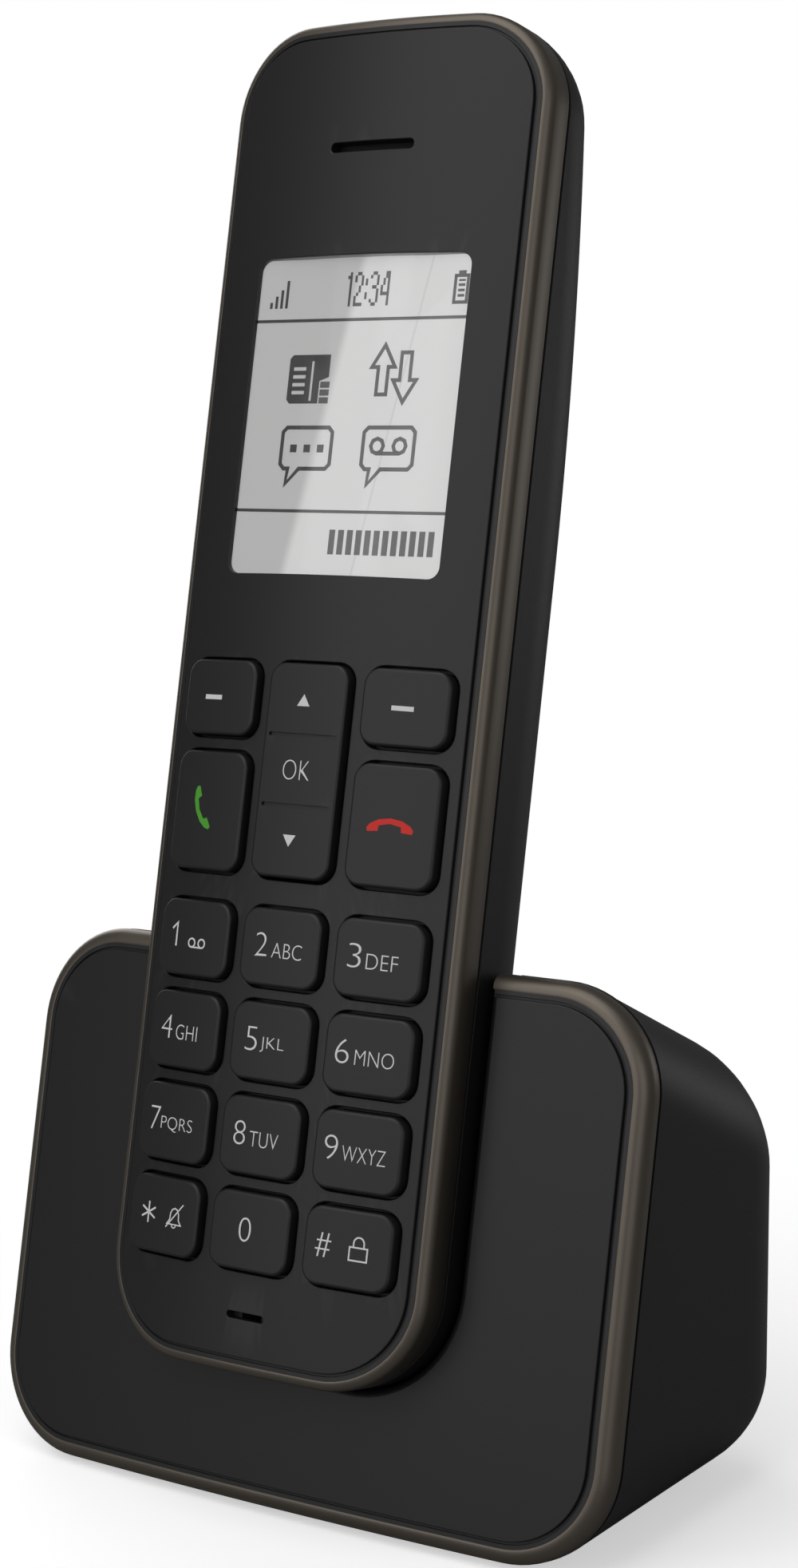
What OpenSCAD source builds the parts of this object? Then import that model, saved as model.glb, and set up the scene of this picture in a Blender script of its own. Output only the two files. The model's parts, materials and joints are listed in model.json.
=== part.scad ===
// Cordless phone handset standing in its charging base.
// Millimetres, +Z up, the front faces -Y, the origin is the centre of the underside.

/* [Handset] */
// Length of the handset from end to end, measured along its lean
handset_length = 171.9; // [150:0.1:210]
// Width of the handset over its trim ring
handset_width = 48.4; // [46:0.1:60]
// Thickness of the handset on its centre line, without the key caps
handset_depth = 24.2; // [22:0.1:30]
// Radius of the gentle curve across the handset's front
handset_front_radius = 108; // [90:1:400]
// Corner radius at the earpiece end, over the trim ring
handset_top_corner = 11.7; // [9:0.1:16]
// Corner radius at the microphone end, over the trim ring
handset_low_corner = 13.2; // [9:0.1:16]
// Radius along the back edges of the handset
handset_back_round = 12; // [8:0.1:13]
// Radius of the long arc that thins the back towards the earpiece end
handset_taper_radius = 394; // [300:1:900]
// Height on the handset at which that thinning starts
handset_taper_start = 103; // [90:1:115]
// Wall thickness of the handset's back shell
handset_wall = 1.8; // [1.4:0.1:2.2]

/* [Front panels] */
// Margin from the outer edge of the handset's ring to its flat panel
handset_margin = 2.2; // [2:0.1:3]
// Margin from the outer edge of the base's ring to its flat panel
base_margin = 2.9; // [2.4:0.1:4]
// Thickness of a front panel
front_wall = 1.6; // [1.2:0.1:2]
// Width of the groove between panel and lip
groove_width = 0.33; // [0.2:0.01:0.5]
// Depth of that groove
groove_depth = 0.6; // [0.3:0.1:0.9]
// Width of the lip between groove and trim ring
lip_width = 0.6; // [0.4:0.05:0.9]
// How far the lip lies below the panel
lip_drop = 0.35; // [0.1:0.05:0.5]
// Thickness of the skirt that runs behind the lip
skirt_wall = 1.6; // [1.2:0.1:2]
// Depth of the handset's trim ring behind the front surface
handset_ring_depth = 4.7; // [4:0.1:6]
// Depth of the base's trim ring behind the front surface
base_ring_depth = 3.5; // [3:0.1:5]
// Shadow gap between a trim ring and the shell behind it
seam_gap = 0.3; // [0.1:0.05:0.5]
// How deep the shadow gap reaches in from the side
seam_reach = 0.8; // [0.5:0.1:1]

/* [Display and sound openings] */
// Width of the display window
window_width = 32.4; // [24:0.1:34]
// Height of the display window
window_height = 40.9; // [24:0.1:42]
// Height on the handset of the window's centre
window_centre = 120.9; // [115:0.1:124]
// Depth of the display's face behind the front surface
display_depth = 3.4; // [3.3:0.1:4]
// Width of the earpiece slot
ear_slot_width = 12.6; // [8:0.1:16]
// Height of the earpiece slot
ear_slot_height = 1.25; // [0.8:0.05:2]
// Distance of the earpiece slot from the handset's upper end
ear_slot_inset = 16.65; // [14:0.05:20]
// Width of the microphone slot
mic_slot_width = 5.6; // [3:0.1:8]
// Height of the microphone slot
mic_slot_height = 0.85; // [0.6:0.05:1.5]
// Height on the handset of the microphone slot
mic_slot_place = 7.3; // [6.5:0.1:8.5]

/* [Keys] */
// Distance between key columns
column_pitch = 14.2; // [13:0.1:14.4]
// Distance between the rows of number keys
row_pitch = 11.8; // [11:0.1:12]
// Width of each key opening
key_width = 12.7; // [11:0.1:12.8]
// Height of each number key opening
key_height = 10.43; // [9:0.1:10.5]
// Height on the handset of the lowest number row's centre
first_row = 17.87; // [17:0.1:19]
// Height on the handset at which the function keys start
function_low = 61.7; // [61:0.1:63]
// Height of the call and end key openings
call_height = 15.95; // [13:0.1:17]
// Height of the two soft key openings
soft_height = 10.35; // [9:0.1:11]
// Gap between a soft key opening and the one below it
function_gap = 1.45; // [1.2:0.05:2]
// Corner radius of the key openings
key_corner = 2.5; // [1.5:0.1:3]
// Clearance between a key and its opening
key_clearance = 0.35; // [0.25:0.05:0.5]
// How far the key tops stand above the panel
key_rise = 1.15; // [0.6:0.05:1.6]
// Small step round the edge of a key top
key_bevel = 0.35; // [0.2:0.05:0.5]
// How far the hidden flange reaches past the opening
key_flange = 0.4; // [0.3:0.05:0.45]
// Gap between the flange and the back of the panel
flange_gap = 0.3; // [0.2:0.05:0.5]
// Travel of a key when pressed
key_travel = 0.7; // [0.4:0.05:0.9]

/* [Base] */
// Width of the base over its trim ring
base_width = 94.6; // [80:0.1:120]
// Height of the base's front face, measured along its lean
face_height = 70.7; // [64:0.1:80]
// Angle at which the face and the handset lean back
lean = 11; // [6:0.5:16]
// Corner radius of the face, over the trim ring
face_corner = 13.4; // [10:0.1:16]
// Radius of the gentle curve across the base's front
base_front_radius = 427; // [300:1:800]
// Depth of the base from the foot of its face to its rear
base_depth = 58.6; // [56:0.1:75]
// Angle at which the top falls towards the rear
top_slope = 22.7; // [16:0.5:24]
// Radius of the upright rear corners
rear_corner = 16; // [10:0.5:20]
// Radius where the top rolls over into the rear
rear_top_round = 16; // [10:0.5:18]
// Radius where the rear rolls under
rear_low_round = 8; // [5:0.5:10]
// Wall thickness of the base
base_wall = 2.4; // [2:0.1:3]
// Height of the underside above the floor
foot_height = 0.8; // [0.5:0.1:2]
// How far the handset's front stands ahead of the base's front
stand_off = 8.3; // [4:0.1:11]
// Height of the handset's lower end above the foot of the face
dock_height = 17.3; // [16.5:0.1:22]
// Clearance between the handset and the walls of its cradle
cradle_clearance = 1.1; // [0.6:0.1:2]
// Gap between the handset's lower end and the cradle's floor
cradle_floor_gap = 0.3; // [0.2:0.05:0.5]
// Wall thickness of the cradle
cradle_wall = 1.8; // [1.4:0.1:2.4]

/* [Charging] */
// Distance between the two charging contacts
contact_pitch = 18; // [12:0.5:20]
// Radius of a charging pin
pin_radius = 1.1; // [0.8:0.05:1.4]
// Running clearance of a pin in its hole
pin_clearance = 0.08; // [0.05:0.01:0.1]
// How far a free pin's tip enters the handset
pin_entry = 1.05; // [0.6:0.05:1.2]
// How far a pin can be pressed down
pin_travel = 1.2; // [0.8:0.1:1.4]
// Radius of the contact pockets in the handset
pocket_radius = 2; // [1.6:0.1:2.4]

/* [Battery bay] */
// Radius of a battery cell
cell_radius = 5.25; // [5:0.05:5.3]
// Length of a battery cell
cell_length = 44.5; // [43.5:0.1:45]
// Space between the two cells
cell_space = 0.7; // [0.4:0.1:1]
// Room for the contacts at each end of the cells
contact_room = 2.3; // [2:0.1:3]
// Height on the handset of the bay's lower end
bay_low = 59; // [58:0.5:60]
// Wall thickness of the bay
bay_wall = 1.2; // [1:0.1:1.6]
// How far the battery door overlaps the bay all round
door_overlap = 2.2; // [1.6:0.1:2.6]
// Thickness of the battery door
door_thickness = 1.6; // [1.2:0.1:2]
// Gap round and under the battery door
door_gap = 0.3; // [0.2:0.05:0.4]

/* [Sockets and button] */
// Distance of each socket from the centre line
socket_place = 15; // [12:0.5:20]
// Height of the sockets' centres above the floor
socket_height = 12.4; // [12.3:0.1:16]
// Width of the line socket's mouth
line_width = 9.8; // [9:0.1:10]
// Width of the power socket's mouth
power_width = 7.8; // [7:0.1:8]
// Height of both mouths
mouth_height = 6.8; // [6:0.1:7]
// Depth of both sockets
mouth_depth = 11; // [9:0.1:12]
// Radius of the paging button
button_radius = 3.6; // [3:0.1:5]
// Height of the paging button's centre above the floor
button_height = 32; // [30:0.5:34]
// How far the paging button stands out
button_rise = 0.6; // [0.3:0.1:1]
// Clearance round the paging button
button_clearance = 0.25; // [0.2:0.05:0.4]

/* [Hidden] */
$fn = 72;

// Facets of the very large front curves
broad_fn = 720;
// Reach of cutting shapes past what they cut
past = 5;

// Colours
matt_black = [0.13, 0.13, 0.135];
deep_black = [0.07, 0.07, 0.075];
bronze = [0.45, 0.41, 0.36];
board_green = [0.10, 0.32, 0.18];
metal = [0.75, 0.75, 0.76];
gold = [0.80, 0.66, 0.30];
lens_clear = [0.80, 0.83, 0.85, 0.35];
lcd_grey = [0.80, 0.82, 0.80];
soft_grey = [0.30, 0.30, 0.31];

// Handset sizes that follow from the ones above
ring_width = handset_margin - groove_width - lip_width;
base_ring_width = base_margin - groove_width - lip_width;
handset_half = handset_width / 2;
base_half = base_width / 2;
key_floor = 4.9;
board_front = 9.2;
board_thickness = 1.0;
board_back = board_front + board_thickness;
board_margin = 4.4;
mat_sheet = 1.0;
top_round = 13;
ringer_place = 134;
ringer_depth = 18.4;
capsule_radius = 3;
capsule_front = 6.6;
earpiece_radius = 9;
ear_slot_place = handset_length - ear_slot_inset;
earpiece_back = 5.4;
gasket_thickness = 0.4;
function_high = function_low + call_height + function_gap + soft_height;
menu_height = function_high - function_low;
menu_centre = (function_high + function_low) / 2;
call_centre = function_low + call_height / 2;
soft_centre = function_high - soft_height / 2;

// Battery bay
cell_x = cell_radius + cell_space / 2;
bay_half = cell_x + cell_radius + 0.25;
bay_high = bay_low + cell_length + 2 * contact_room;
door_depth = handset_depth - door_thickness;
cell_depth = door_depth - door_gap - 0.45 - cell_radius;
bay_floor = cell_depth - cell_radius - 0.25;
door_half = bay_half + door_overlap;
door_low = bay_low - door_overlap;
door_high = bay_high + door_overlap;

// Menu key pivot
pivot_radius = 0.8;
pivot_clearance = 0.06;
pivot_depth = 3.9;
pivot_length = 9;

// Handset screws
screw_x = 14;
screw_z = 8;
screw_shank = 1.1;
screw_head = 2.4;
screw_head_height = 1.5;
screw_head_depth = handset_depth - 3.6;
front_boss_radius = 2.8;
back_boss_radius = 3.8;
board_hole_radius = 3.2;
boss_split = 12;

// Charging contacts
contact_depth = 12.8;
contact_thickness = 0.6;
contact_level = pin_entry + 0.15;

// Base placing
face_lift = foot_height + 0.8;
face_low = -0.2;
face_high = face_low + face_height;
front_reach = stand_off * cos(lean) - (dock_height + handset_margin) * sin(lean);
face_y = (front_reach - base_depth - button_rise) / 2;
rear_y = face_y + base_depth;
ring_top_y = face_y + face_high * sin(lean) + base_ring_depth * cos(lean);
ring_top_z = face_lift + face_high * cos(lean) - base_ring_depth * sin(lean);
pin_depth = contact_depth - stand_off;
cradle_floor = dock_height - cradle_floor_gap;
pin_under = cradle_floor - cradle_wall;
collar_height = 1.2;
collar_radius = 1.9;
collar_clearance = 0.3;
housing_wall = 0.5;
housing_height = 7.2;

// Base inside
plate_thickness = 1.2;
plate_half = 30;
plate_front = face_y + 9;
plate_rear = rear_y - 12;
plate_corner = 5;
plate_length = plate_rear - plate_front;
plate_middle = (plate_front + plate_rear) / 2;
plate_seat = 3;
plate_gap = 0.15;
foot_inset = 7;
foot_radius = 4.5;
foot_pocket = 0.4;
foot_row = plate_length / 2 - foot_inset - 4;
plate_screw_x = plate_half - 10;
plate_screw_y = plate_length / 2 - 1.6;
plate_screw_shank = 0.9;
plate_screw_head = 1.5;
plate_screw_head_height = 0.7;
socket_wall = 1.3;
base_board_thickness = 1.6;
base_board_z = socket_height - mouth_height / 2 - socket_wall - base_board_thickness;
base_board_rear = rear_y - base_wall - 1;
switch_size = 6;
switch_depth = 4.2;
post_radius = 2.6;
post_inset = 7;

// ---------- shared outlines and frames ----------

// Rounded rectangle: x across, y up, with its own radius at the low and the high corners
module rounded(half, low, high, low_radius, high_radius) {
  translate([-half, low + low_radius])
    square([2 * half, high - low - low_radius - high_radius]);
  translate([-half + low_radius, low])
    square([2 * (half - low_radius), low_radius + 0.01]);
  translate([-half + high_radius, high - high_radius - 0.01])
    square([2 * (half - high_radius), high_radius + 0.01]);
  for (side = [-1, 1]) {
    translate([side * (half - low_radius), low + low_radius]) circle(low_radius);
    translate([side * (half - high_radius), high - high_radius]) circle(high_radius);
  }
}

// Rounded rectangle centred on a point
module tablet(width, height, radius) {
  rounded(width / 2, -height / 2, height / 2, radius, radius);
}

// Pushes an outline through the thickness, from one depth to another
module pushed(from, to) {
  translate([0, to, 0]) rotate([90, 0, 0]) linear_extrude(to - from) children();
}

// Round bar along the depth direction
module bar(x, z, from, to, radius) {
  translate([x, from, z]) rotate([-90, 0, 0]) cylinder(h = to - from, r = radius);
}

// Pushes a side view (depth across, height up) out to both sides
module sideways(half) {
  translate([-half, 0, 0]) rotate([90, 0, 90]) linear_extrude(2 * half) children();
}

// All that lies at least `skin` behind a gently curved front
module behind(radius, skin, low, high) {
  translate([0, radius, low]) cylinder(h = high - low, r = radius - skin, $fn = broad_fn);
}

// Frame of the leaning face: x across, y into the object, z up along the face
module face_frame() {
  translate([0, face_y, face_lift]) rotate([-lean, 0, 0]) children();
}

// Frame of the standing handset, with z = 0 at its lower end and y = 0 at its front
module handset_frame() {
  face_frame() translate([0, -stand_off, dock_height]) children();
}

module behind_handset_front(skin) {
  behind(handset_front_radius, skin, -past, handset_length + past);
}

module behind_base_front(skin) {
  behind(base_front_radius, skin, -2 * past, face_high + 2 * past);
}

// ---------- outer forms ----------

module handset_outline(grow) {
  rounded(handset_half + grow, -grow, handset_length + grow,
    handset_low_corner + grow, handset_top_corner + grow);
}

// Cross-section of the handset with its rounded back edges
module handset_section(grow) {
  half = handset_half + grow;
  round_in = handset_back_round + grow;
  back = handset_depth + grow;
  translate([-half, -past]) square([2 * half, back - round_in + past]);
  translate([-half + round_in, -past]) square([2 * (half - round_in), back + past]);
  for (side = [-1, 1])
    translate([side * (half - round_in), back - round_in]) circle(round_in);
}

// Side view of the handset: the back thins along an arc and rolls over at both ends
module handset_profile(grow) {
  back = handset_depth + grow;
  low = -grow;
  high = handset_length + grow;
  low_round = handset_back_round + grow;
  high_round = top_round + grow;
  rise = handset_length - top_round - handset_taper_start;
  thinning = handset_taper_radius - sqrt(pow(handset_taper_radius, 2) - pow(rise, 2));
  intersection() {
    union() {
      translate([-past, low + low_round]) square([back + past, high - high_round - low - low_round]);
      translate([-past, low]) square([back - low_round + past, low_round + 0.01]);
      translate([back - low_round, low + low_round]) circle(low_round);
      translate([-past, high - high_round]) square([back - thinning - high_round + past, high_round]);
      translate([back - thinning - high_round, high - high_round]) circle(high_round);
    }
    union() {
      translate([-past, low - past]) square([back + 2 * past, handset_taper_start - low + past]);
      translate([back - handset_taper_radius, handset_taper_start])
        circle(handset_taper_radius, $fn = broad_fn);
    }
  }
}

// The handset as one rounded bar, larger or smaller by `grow`
module handset_form(grow) {
  intersection() {
    pushed(-past / 2, handset_depth + past) handset_outline(grow);
    translate([0, 0, -past]) linear_extrude(handset_length + 2 * past) handset_section(grow);
    sideways(handset_half + past) handset_profile(grow);
  }
}

// The space the handset sweeps as it is lifted out of the cradle
module dock_form(grow, floor_at) {
  tall = handset_length;
  handset_frame() intersection() {
    pushed(-past, handset_depth + past)
      rounded(handset_half + grow, floor_at, tall, handset_low_corner + grow, handset_low_corner);
    translate([0, 0, -past]) linear_extrude(tall) handset_section(grow);
    sideways(handset_half + past) dock_profile(grow, floor_at);
  }
}

// Side view of that space, rolled over at its lower end only
module dock_profile(grow, floor_at) {
  back = handset_depth + grow;
  roll = handset_back_round + grow;
  translate([-2 * past, floor_at + roll]) square([back + 2 * past, handset_length]);
  translate([-2 * past, floor_at]) square([back - roll + 2 * past, roll + 0.01]);
  translate([back - roll, floor_at + roll]) circle(roll);
}

module cradle_space() {
  dock_form(cradle_clearance, -cradle_floor_gap);
}

module cradle_outside() {
  dock_form(cradle_clearance + cradle_wall, -cradle_floor_gap - cradle_wall);
}

module base_outline(grow) {
  rounded(base_half + grow, face_low - grow, face_high + grow,
    face_corner + grow, face_corner + grow);
}

// Side view of the rolled rear edges, taken off the base
module rear_roll_off(inset) {
  centre_y = rear_y - rear_top_round;
  drop = (rear_top_round + (centre_y - ring_top_y) * sin(top_slope)) / cos(top_slope);
  reach = 4 * rear_top_round;
  translate([centre_y, ring_top_z - drop]) difference() {
    polygon([[0, 0], [reach, 0], [reach, reach], [reach * sin(top_slope), reach * cos(top_slope)]]);
    circle(rear_top_round - inset);
  }
  translate([rear_y - rear_low_round, foot_height + rear_low_round]) difference() {
    polygon([[0, 0], [0, -reach], [reach, -reach], [reach, 0]]);
    circle(rear_low_round - inset);
  }
}

// The base behind its trim ring, smaller by `inset`, with an open front
module base_form(inset) {
  far = base_depth + 60;
  intersection() {
    translate([0, far / 2, 0]) rotate([90, 0, 0]) linear_extrude(far)
      rounded(base_half - inset, foot_height + inset, ring_top_z + 2 * face_corner,
        face_corner - inset, face_corner - inset);
    translate([0, ring_top_y, ring_top_z]) rotate([-top_slope, 0, 0])
      translate([0, far, 0]) rotate([90, 0, 0]) linear_extrude(2 * far)
      rounded(base_half - inset, -4 * face_height, -inset, face_corner - inset,
        face_corner - inset);
    translate([0, 0, -past]) linear_extrude(2 * face_height)
      rounded(base_half - inset, -far, rear_y - inset, rear_corner - inset,
        rear_corner - inset);
    difference() {
      translate([-base_width, -far, -past]) cube([2 * base_width, 2 * far, 3 * face_height]);
      sideways(base_width) rear_roll_off(inset);
    }
  }
}

// ---------- handset ----------

// Key opening or key body at a place on the handset
module key_prism(x, z, width, height, grow, from, to) {
  translate([x, 0, z]) pushed(from, to)
    tablet(width + 2 * grow, height + 2 * grow, key_corner + grow);
}

module number_prism(column, row, grow, from, to) {
  key_prism(column * column_pitch, first_row + row * row_pitch, key_width, key_height,
    grow, from, to);
}

module key_openings() {
  for (column = [-1, 0, 1])
    for (row = [0:3]) number_prism(column, row, 0, -past, 2 * past);
  for (side = [-1, 1]) {
    key_prism(side * column_pitch, call_centre, key_width, call_height, 0, -past, 2 * past);
    key_prism(side * column_pitch, soft_centre, key_width, soft_height, 0, -past, 2 * past);
  }
  key_prism(0, menu_centre, key_width, menu_height, 0, -past, 2 * past);
}

// Shallow cut between two outlines, down to the surface given as the third child
module lip_cut() {
  difference() {
    pushed(-past, 2 * past) children(0);
    pushed(-2 * past, 3 * past) children(1);
    children(2);
  }
}

module handset_front_cover() {
  color(matt_black) handset_frame() difference() {
    union() {
      difference() {
        intersection() {
          pushed(-1, 3 * past) handset_outline(-ring_width);
          behind_handset_front(0);
        }
        behind_handset_front(handset_ring_depth);
        intersection() {
          pushed(-1, 3 * past) handset_outline(-ring_width - skirt_wall);
          behind_handset_front(front_wall);
        }
        lip_cut() {
          handset_outline(-handset_margin + groove_width);
          handset_outline(-handset_margin);
          behind_handset_front(groove_depth);
        }
        lip_cut() {
          handset_outline(0);
          handset_outline(-handset_margin + groove_width);
          behind_handset_front(lip_drop);
        }
      }
      intersection() {
        for (side = [-1, 1]) bar(side * screw_x, screw_z, 1, boss_split, front_boss_radius);
        behind_handset_front(front_wall / 2);
      }
    }
    key_openings();
    translate([0, 0, window_centre]) pushed(-past, 2 * past) tablet(window_width, window_height, 1.6);
    translate([0, 0, ear_slot_place]) pushed(-past, 2 * past)
      tablet(ear_slot_width, ear_slot_height, ear_slot_height / 2 - 0.01);
    translate([0, 0, mic_slot_place]) pushed(-past, 2 * past)
      tablet(mic_slot_width, mic_slot_height, mic_slot_height / 2 - 0.01);
    for (side = [-1, 1]) bar(side * screw_x, screw_z, 4, boss_split + 1, screw_shank);
  }
}

// Trim ring: its outer front edge is bevelled on all four sides
module ring_bevel(half, low, high, front) {
  bevel = 0.9;
  for (side = [-1, 1])
    translate([side * half, front, low - past]) rotate([0, 0, 45])
      translate([-bevel / 2, -bevel / 2, 0]) cube([bevel, bevel, high - low + 2 * past]);
}

module handset_trim_ring() {
  edge_front = handset_front_radius - sqrt(pow(handset_front_radius, 2) - pow(handset_half, 2));
  color(bronze) handset_frame() difference() {
    intersection() {
      pushed(-1, 3 * past) handset_outline(0);
      behind_handset_front(lip_drop);
    }
    behind_handset_front(handset_ring_depth);
    pushed(-2, 4 * past) handset_outline(-ring_width);
    ring_bevel(handset_half, 0, handset_length, edge_front + lip_drop);
  }
}

// Rectangular space inside the handset
module block(x_low, x_high, from, to, z_low, z_high) {
  translate([x_low, from, z_low]) cube([x_high - x_low, to - from, z_high - z_low]);
}

module handset_back_shell() {
  color(deep_black) handset_frame() difference() {
    union() {
      difference() {
        intersection() {
          handset_form(0);
          behind_handset_front(handset_ring_depth);
        }
        handset_form(-handset_wall);
      }
      intersection() {
        handset_form(-handset_wall / 2);
        union() {
          block(-bay_half - bay_wall, bay_half + bay_wall, board_back, handset_depth,
            bay_low - bay_wall, bay_high + bay_wall);
          block(-door_half, door_half, door_depth - door_gap - 1, handset_depth,
            door_low, door_high);
          for (side = [-1, 1]) bar(side * screw_x, screw_z, boss_split, handset_depth, back_boss_radius);
        }
      }
    }
    // Shadow gap behind the trim ring
    difference() {
      pushed(-1, 4 * past) handset_outline(past);
      pushed(-2, 5 * past) handset_outline(-seam_reach);
      behind_handset_front(handset_ring_depth + seam_gap);
    }
    block(-bay_half, bay_half, bay_floor, 2 * handset_depth, bay_low, bay_high);
    translate([0, 0, (door_low + door_high) / 2])
      pushed(door_depth - door_gap, 2 * handset_depth)
      tablet(2 * (door_half + door_gap), door_high - door_low + 2 * door_gap, 2 + door_gap);
    for (side = [-1, 1]) {
      bar(side * screw_x, screw_z, boss_split - 1, handset_depth, screw_shank + 0.15);
      bar(side * screw_x, screw_z, screw_head_depth, 2 * handset_depth, screw_head + 0.2);
      translate([side * contact_pitch / 2, contact_depth, -1])
        cylinder(h = handset_wall + 2, r = pocket_radius);
    }
    // Sound slots of the ringer
    for (step = [-1, 0, 1])
      block(-4, 4, handset_depth - 8, 2 * handset_depth,
        ringer_place + step * 2.6 - 0.5, ringer_place + step * 2.6 + 0.5);
  }
}

module battery_door() {
  grip_depth = 0.5;
  grip_half = 5;
  grip_pitch = 1.6;
  grip_start = door_high - 8;
  color(deep_black) handset_frame() difference() {
    intersection() {
      handset_form(0);
      translate([0, 0, (door_low + door_high) / 2]) pushed(door_depth, handset_depth + 1)
        tablet(2 * door_half, door_high - door_low, 2);
    }
    for (step = [0:3])
      block(-grip_half, grip_half, handset_depth - grip_depth, handset_depth + 1,
        grip_start + step * grip_pitch, grip_start + (step + 0.5) * grip_pitch);
  }
}

module battery_cell(side) {
  low = bay_low + contact_room;
  color(soft_grey) handset_frame() translate([side * cell_x, cell_depth, low]) {
    cylinder(h = cell_length - 1, r = cell_radius);
    translate([0, 0, cell_length - 1]) cylinder(h = 1, r = 1.9);
  }
}

// End plates of the bay with a coil-shaped cone under each cell's flat end
module battery_contacts() {
  plate = 0.4;
  color(metal) handset_frame() for (side = [-1, 1]) {
    translate([side * cell_x, cell_depth, bay_low]) {
      translate([-3.6, -3.6, 0]) cube([7.2, 7.2, plate]);
      translate([0, 0, plate]) cylinder(h = contact_room - plate, r1 = 3.2, r2 = 2);
    }
    translate([side * cell_x, cell_depth, bay_high - plate]) {
      translate([-3.6, -3.6, 0]) cube([7.2, 7.2, plate]);
      translate([0, 0, plate - contact_room]) cylinder(h = contact_room, r = 1.6);
    }
  }
}

module display_lens() {
  sunk = 0.25;
  gap = 0.05;
  color(lens_clear) handset_frame() difference() {
    intersection() {
      translate([0, 0, window_centre]) pushed(-1, 2 * past)
        tablet(window_width - 2 * gap, window_height - 2 * gap, 1.6);
      behind_handset_front(sunk);
    }
    behind_handset_front(front_wall);
  }
}

module display_panel() {
  frame = 2.2;
  glass = 2;
  color(lcd_grey) handset_frame()
    block(-window_width / 2 - frame, window_width / 2 + frame, display_depth,
      display_depth + glass, window_centre - window_height / 2 - frame,
      window_centre + window_height / 2 + frame);
}

module display_frame() {
  reach = 2.8;
  hollow = 2;
  color(soft_grey) handset_frame() difference() {
    block(-window_width / 2 - reach, window_width / 2 + reach, display_depth + 2, board_front,
      window_centre - window_height / 2 - reach, window_centre + window_height / 2 + reach);
    block(-window_width / 2 + hollow, window_width / 2 - hollow, display_depth + 3, board_front + 1,
      window_centre - window_height / 2 + hollow, window_centre + window_height / 2 - hollow);
  }
}

// Silicone mat with one pressed dome under every key
module key_mat() {
  dome = 2.6;
  dome_top = key_floor + key_travel + 0.35;
  mat_low = first_row - key_height / 2;
  mat_half = column_pitch + key_width / 2 - 0.4;
  color(soft_grey) handset_frame() difference() {
    union() {
      block(-mat_half, mat_half, board_front - mat_sheet, board_front, mat_low, function_high);
      for (column = [-1, 0, 1])
        for (row = [0:3])
          bar(column * column_pitch, first_row + row * row_pitch, dome_top, board_front, dome);
      for (side = [-1, 1]) {
        bar(side * column_pitch, call_centre, dome_top, board_front, dome);
        bar(side * column_pitch, soft_centre, dome_top, board_front, dome);
        bar(0, menu_centre + side * menu_height / 3, dome_top, board_front, dome);
      }
      bar(0, menu_centre, dome_top + 0.45, board_front, dome);
    }
    for (side = [-1, 1]) bar(side * screw_x, screw_z, 0, 2 * past, board_hole_radius);
  }
}

module handset_board() {
  color(board_green) handset_frame() difference() {
    pushed(board_front, board_back) handset_outline(-board_margin);
    for (side = [-1, 1]) bar(side * screw_x, screw_z, 0, 4 * past, board_hole_radius);
  }
}

module earpiece_gasket() {
  color(soft_grey) handset_frame() difference() {
    intersection() {
      bar(0, ear_slot_place, 0, earpiece_back, earpiece_radius);
      behind_handset_front(front_wall);
    }
    behind_handset_front(front_wall + gasket_thickness);
    bar(0, ear_slot_place, -1, earpiece_back, earpiece_radius - 2);
  }
}

module earpiece_speaker() {
  color(metal) handset_frame() {
    intersection() {
      bar(0, ear_slot_place, 0, earpiece_back, earpiece_radius);
      behind_handset_front(front_wall + gasket_thickness);
    }
    bar(0, ear_slot_place, earpiece_back, board_front, earpiece_radius / 2);
  }
}

module ringer_speaker() {
  color(metal) handset_frame() {
    bar(0, ringer_place, ringer_depth - 3, ringer_depth, 8.5);
    bar(0, ringer_place, board_back, ringer_depth - 3, 5);
  }
}

module microphone() {
  color(metal) handset_frame() bar(0, mic_slot_place, capsule_front, board_front, capsule_radius);
}

module microphone_boot() {
  color(soft_grey) handset_frame() difference() {
    intersection() {
      bar(0, mic_slot_place, 0, capsule_front, capsule_radius);
      behind_handset_front(front_wall);
    }
    bar(0, mic_slot_place, 0, capsule_front + 1, capsule_radius / 2);
  }
}

module handset_charge_contacts() {
  color(gold) handset_frame() for (side = [-1, 1]) {
    translate([side * contact_pitch / 2, contact_depth, contact_level])
      cylinder(h = contact_thickness, r = pocket_radius);
    block(side * contact_pitch / 2 - 1, side * contact_pitch / 2 + 1, board_back, contact_depth,
      contact_level + contact_thickness, contact_level + contact_thickness + 5);
  }
}

module handset_antenna() {
  color(gold) handset_frame() {
    block(-14, 14, board_back, board_back + 0.4, handset_length - 12, handset_length - 8);
    block(-14, -10, board_back, board_back + 0.4, handset_length - 17, handset_length - 12);
  }
}

module handset_screws() {
  color(metal) handset_frame() for (side = [-1, 1]) difference() {
    union() {
      bar(side * screw_x, screw_z, 6, screw_head_depth, screw_shank);
      bar(side * screw_x, screw_z, screw_head_depth, screw_head_depth + screw_head_height,
        screw_head);
    }
    for (turn = [0, 90])
      translate([side * screw_x, screw_head_depth + screw_head_height, screw_z])
        rotate([0, turn, 0]) cube([2.8, 1.6, 0.6], center = true);
  }
}

// ---------- keys ----------

// Cap that stands proud of the panel, above a flange that keeps it in
module key_cap(x, z, width, height) {
  handset_frame() {
    intersection() {
      key_prism(x, z, width, height, -key_clearance, -past, key_floor);
      behind_handset_front(-key_rise + key_bevel);
    }
    intersection() {
      key_prism(x, z, width, height, -key_clearance - key_bevel, -past, key_floor);
      behind_handset_front(-key_rise);
    }
    intersection() {
      key_prism(x, z, width, height, key_flange, 0, key_floor);
      behind_handset_front(front_wall + flange_gap);
    }
  }
}

module number_key(column, row) {
  color(matt_black) key_cap(column * column_pitch, first_row + row * row_pitch, key_width,
    key_height);
}

module key_call() {
  color(matt_black) key_cap(-column_pitch, call_centre, key_width, call_height);
}

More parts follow.
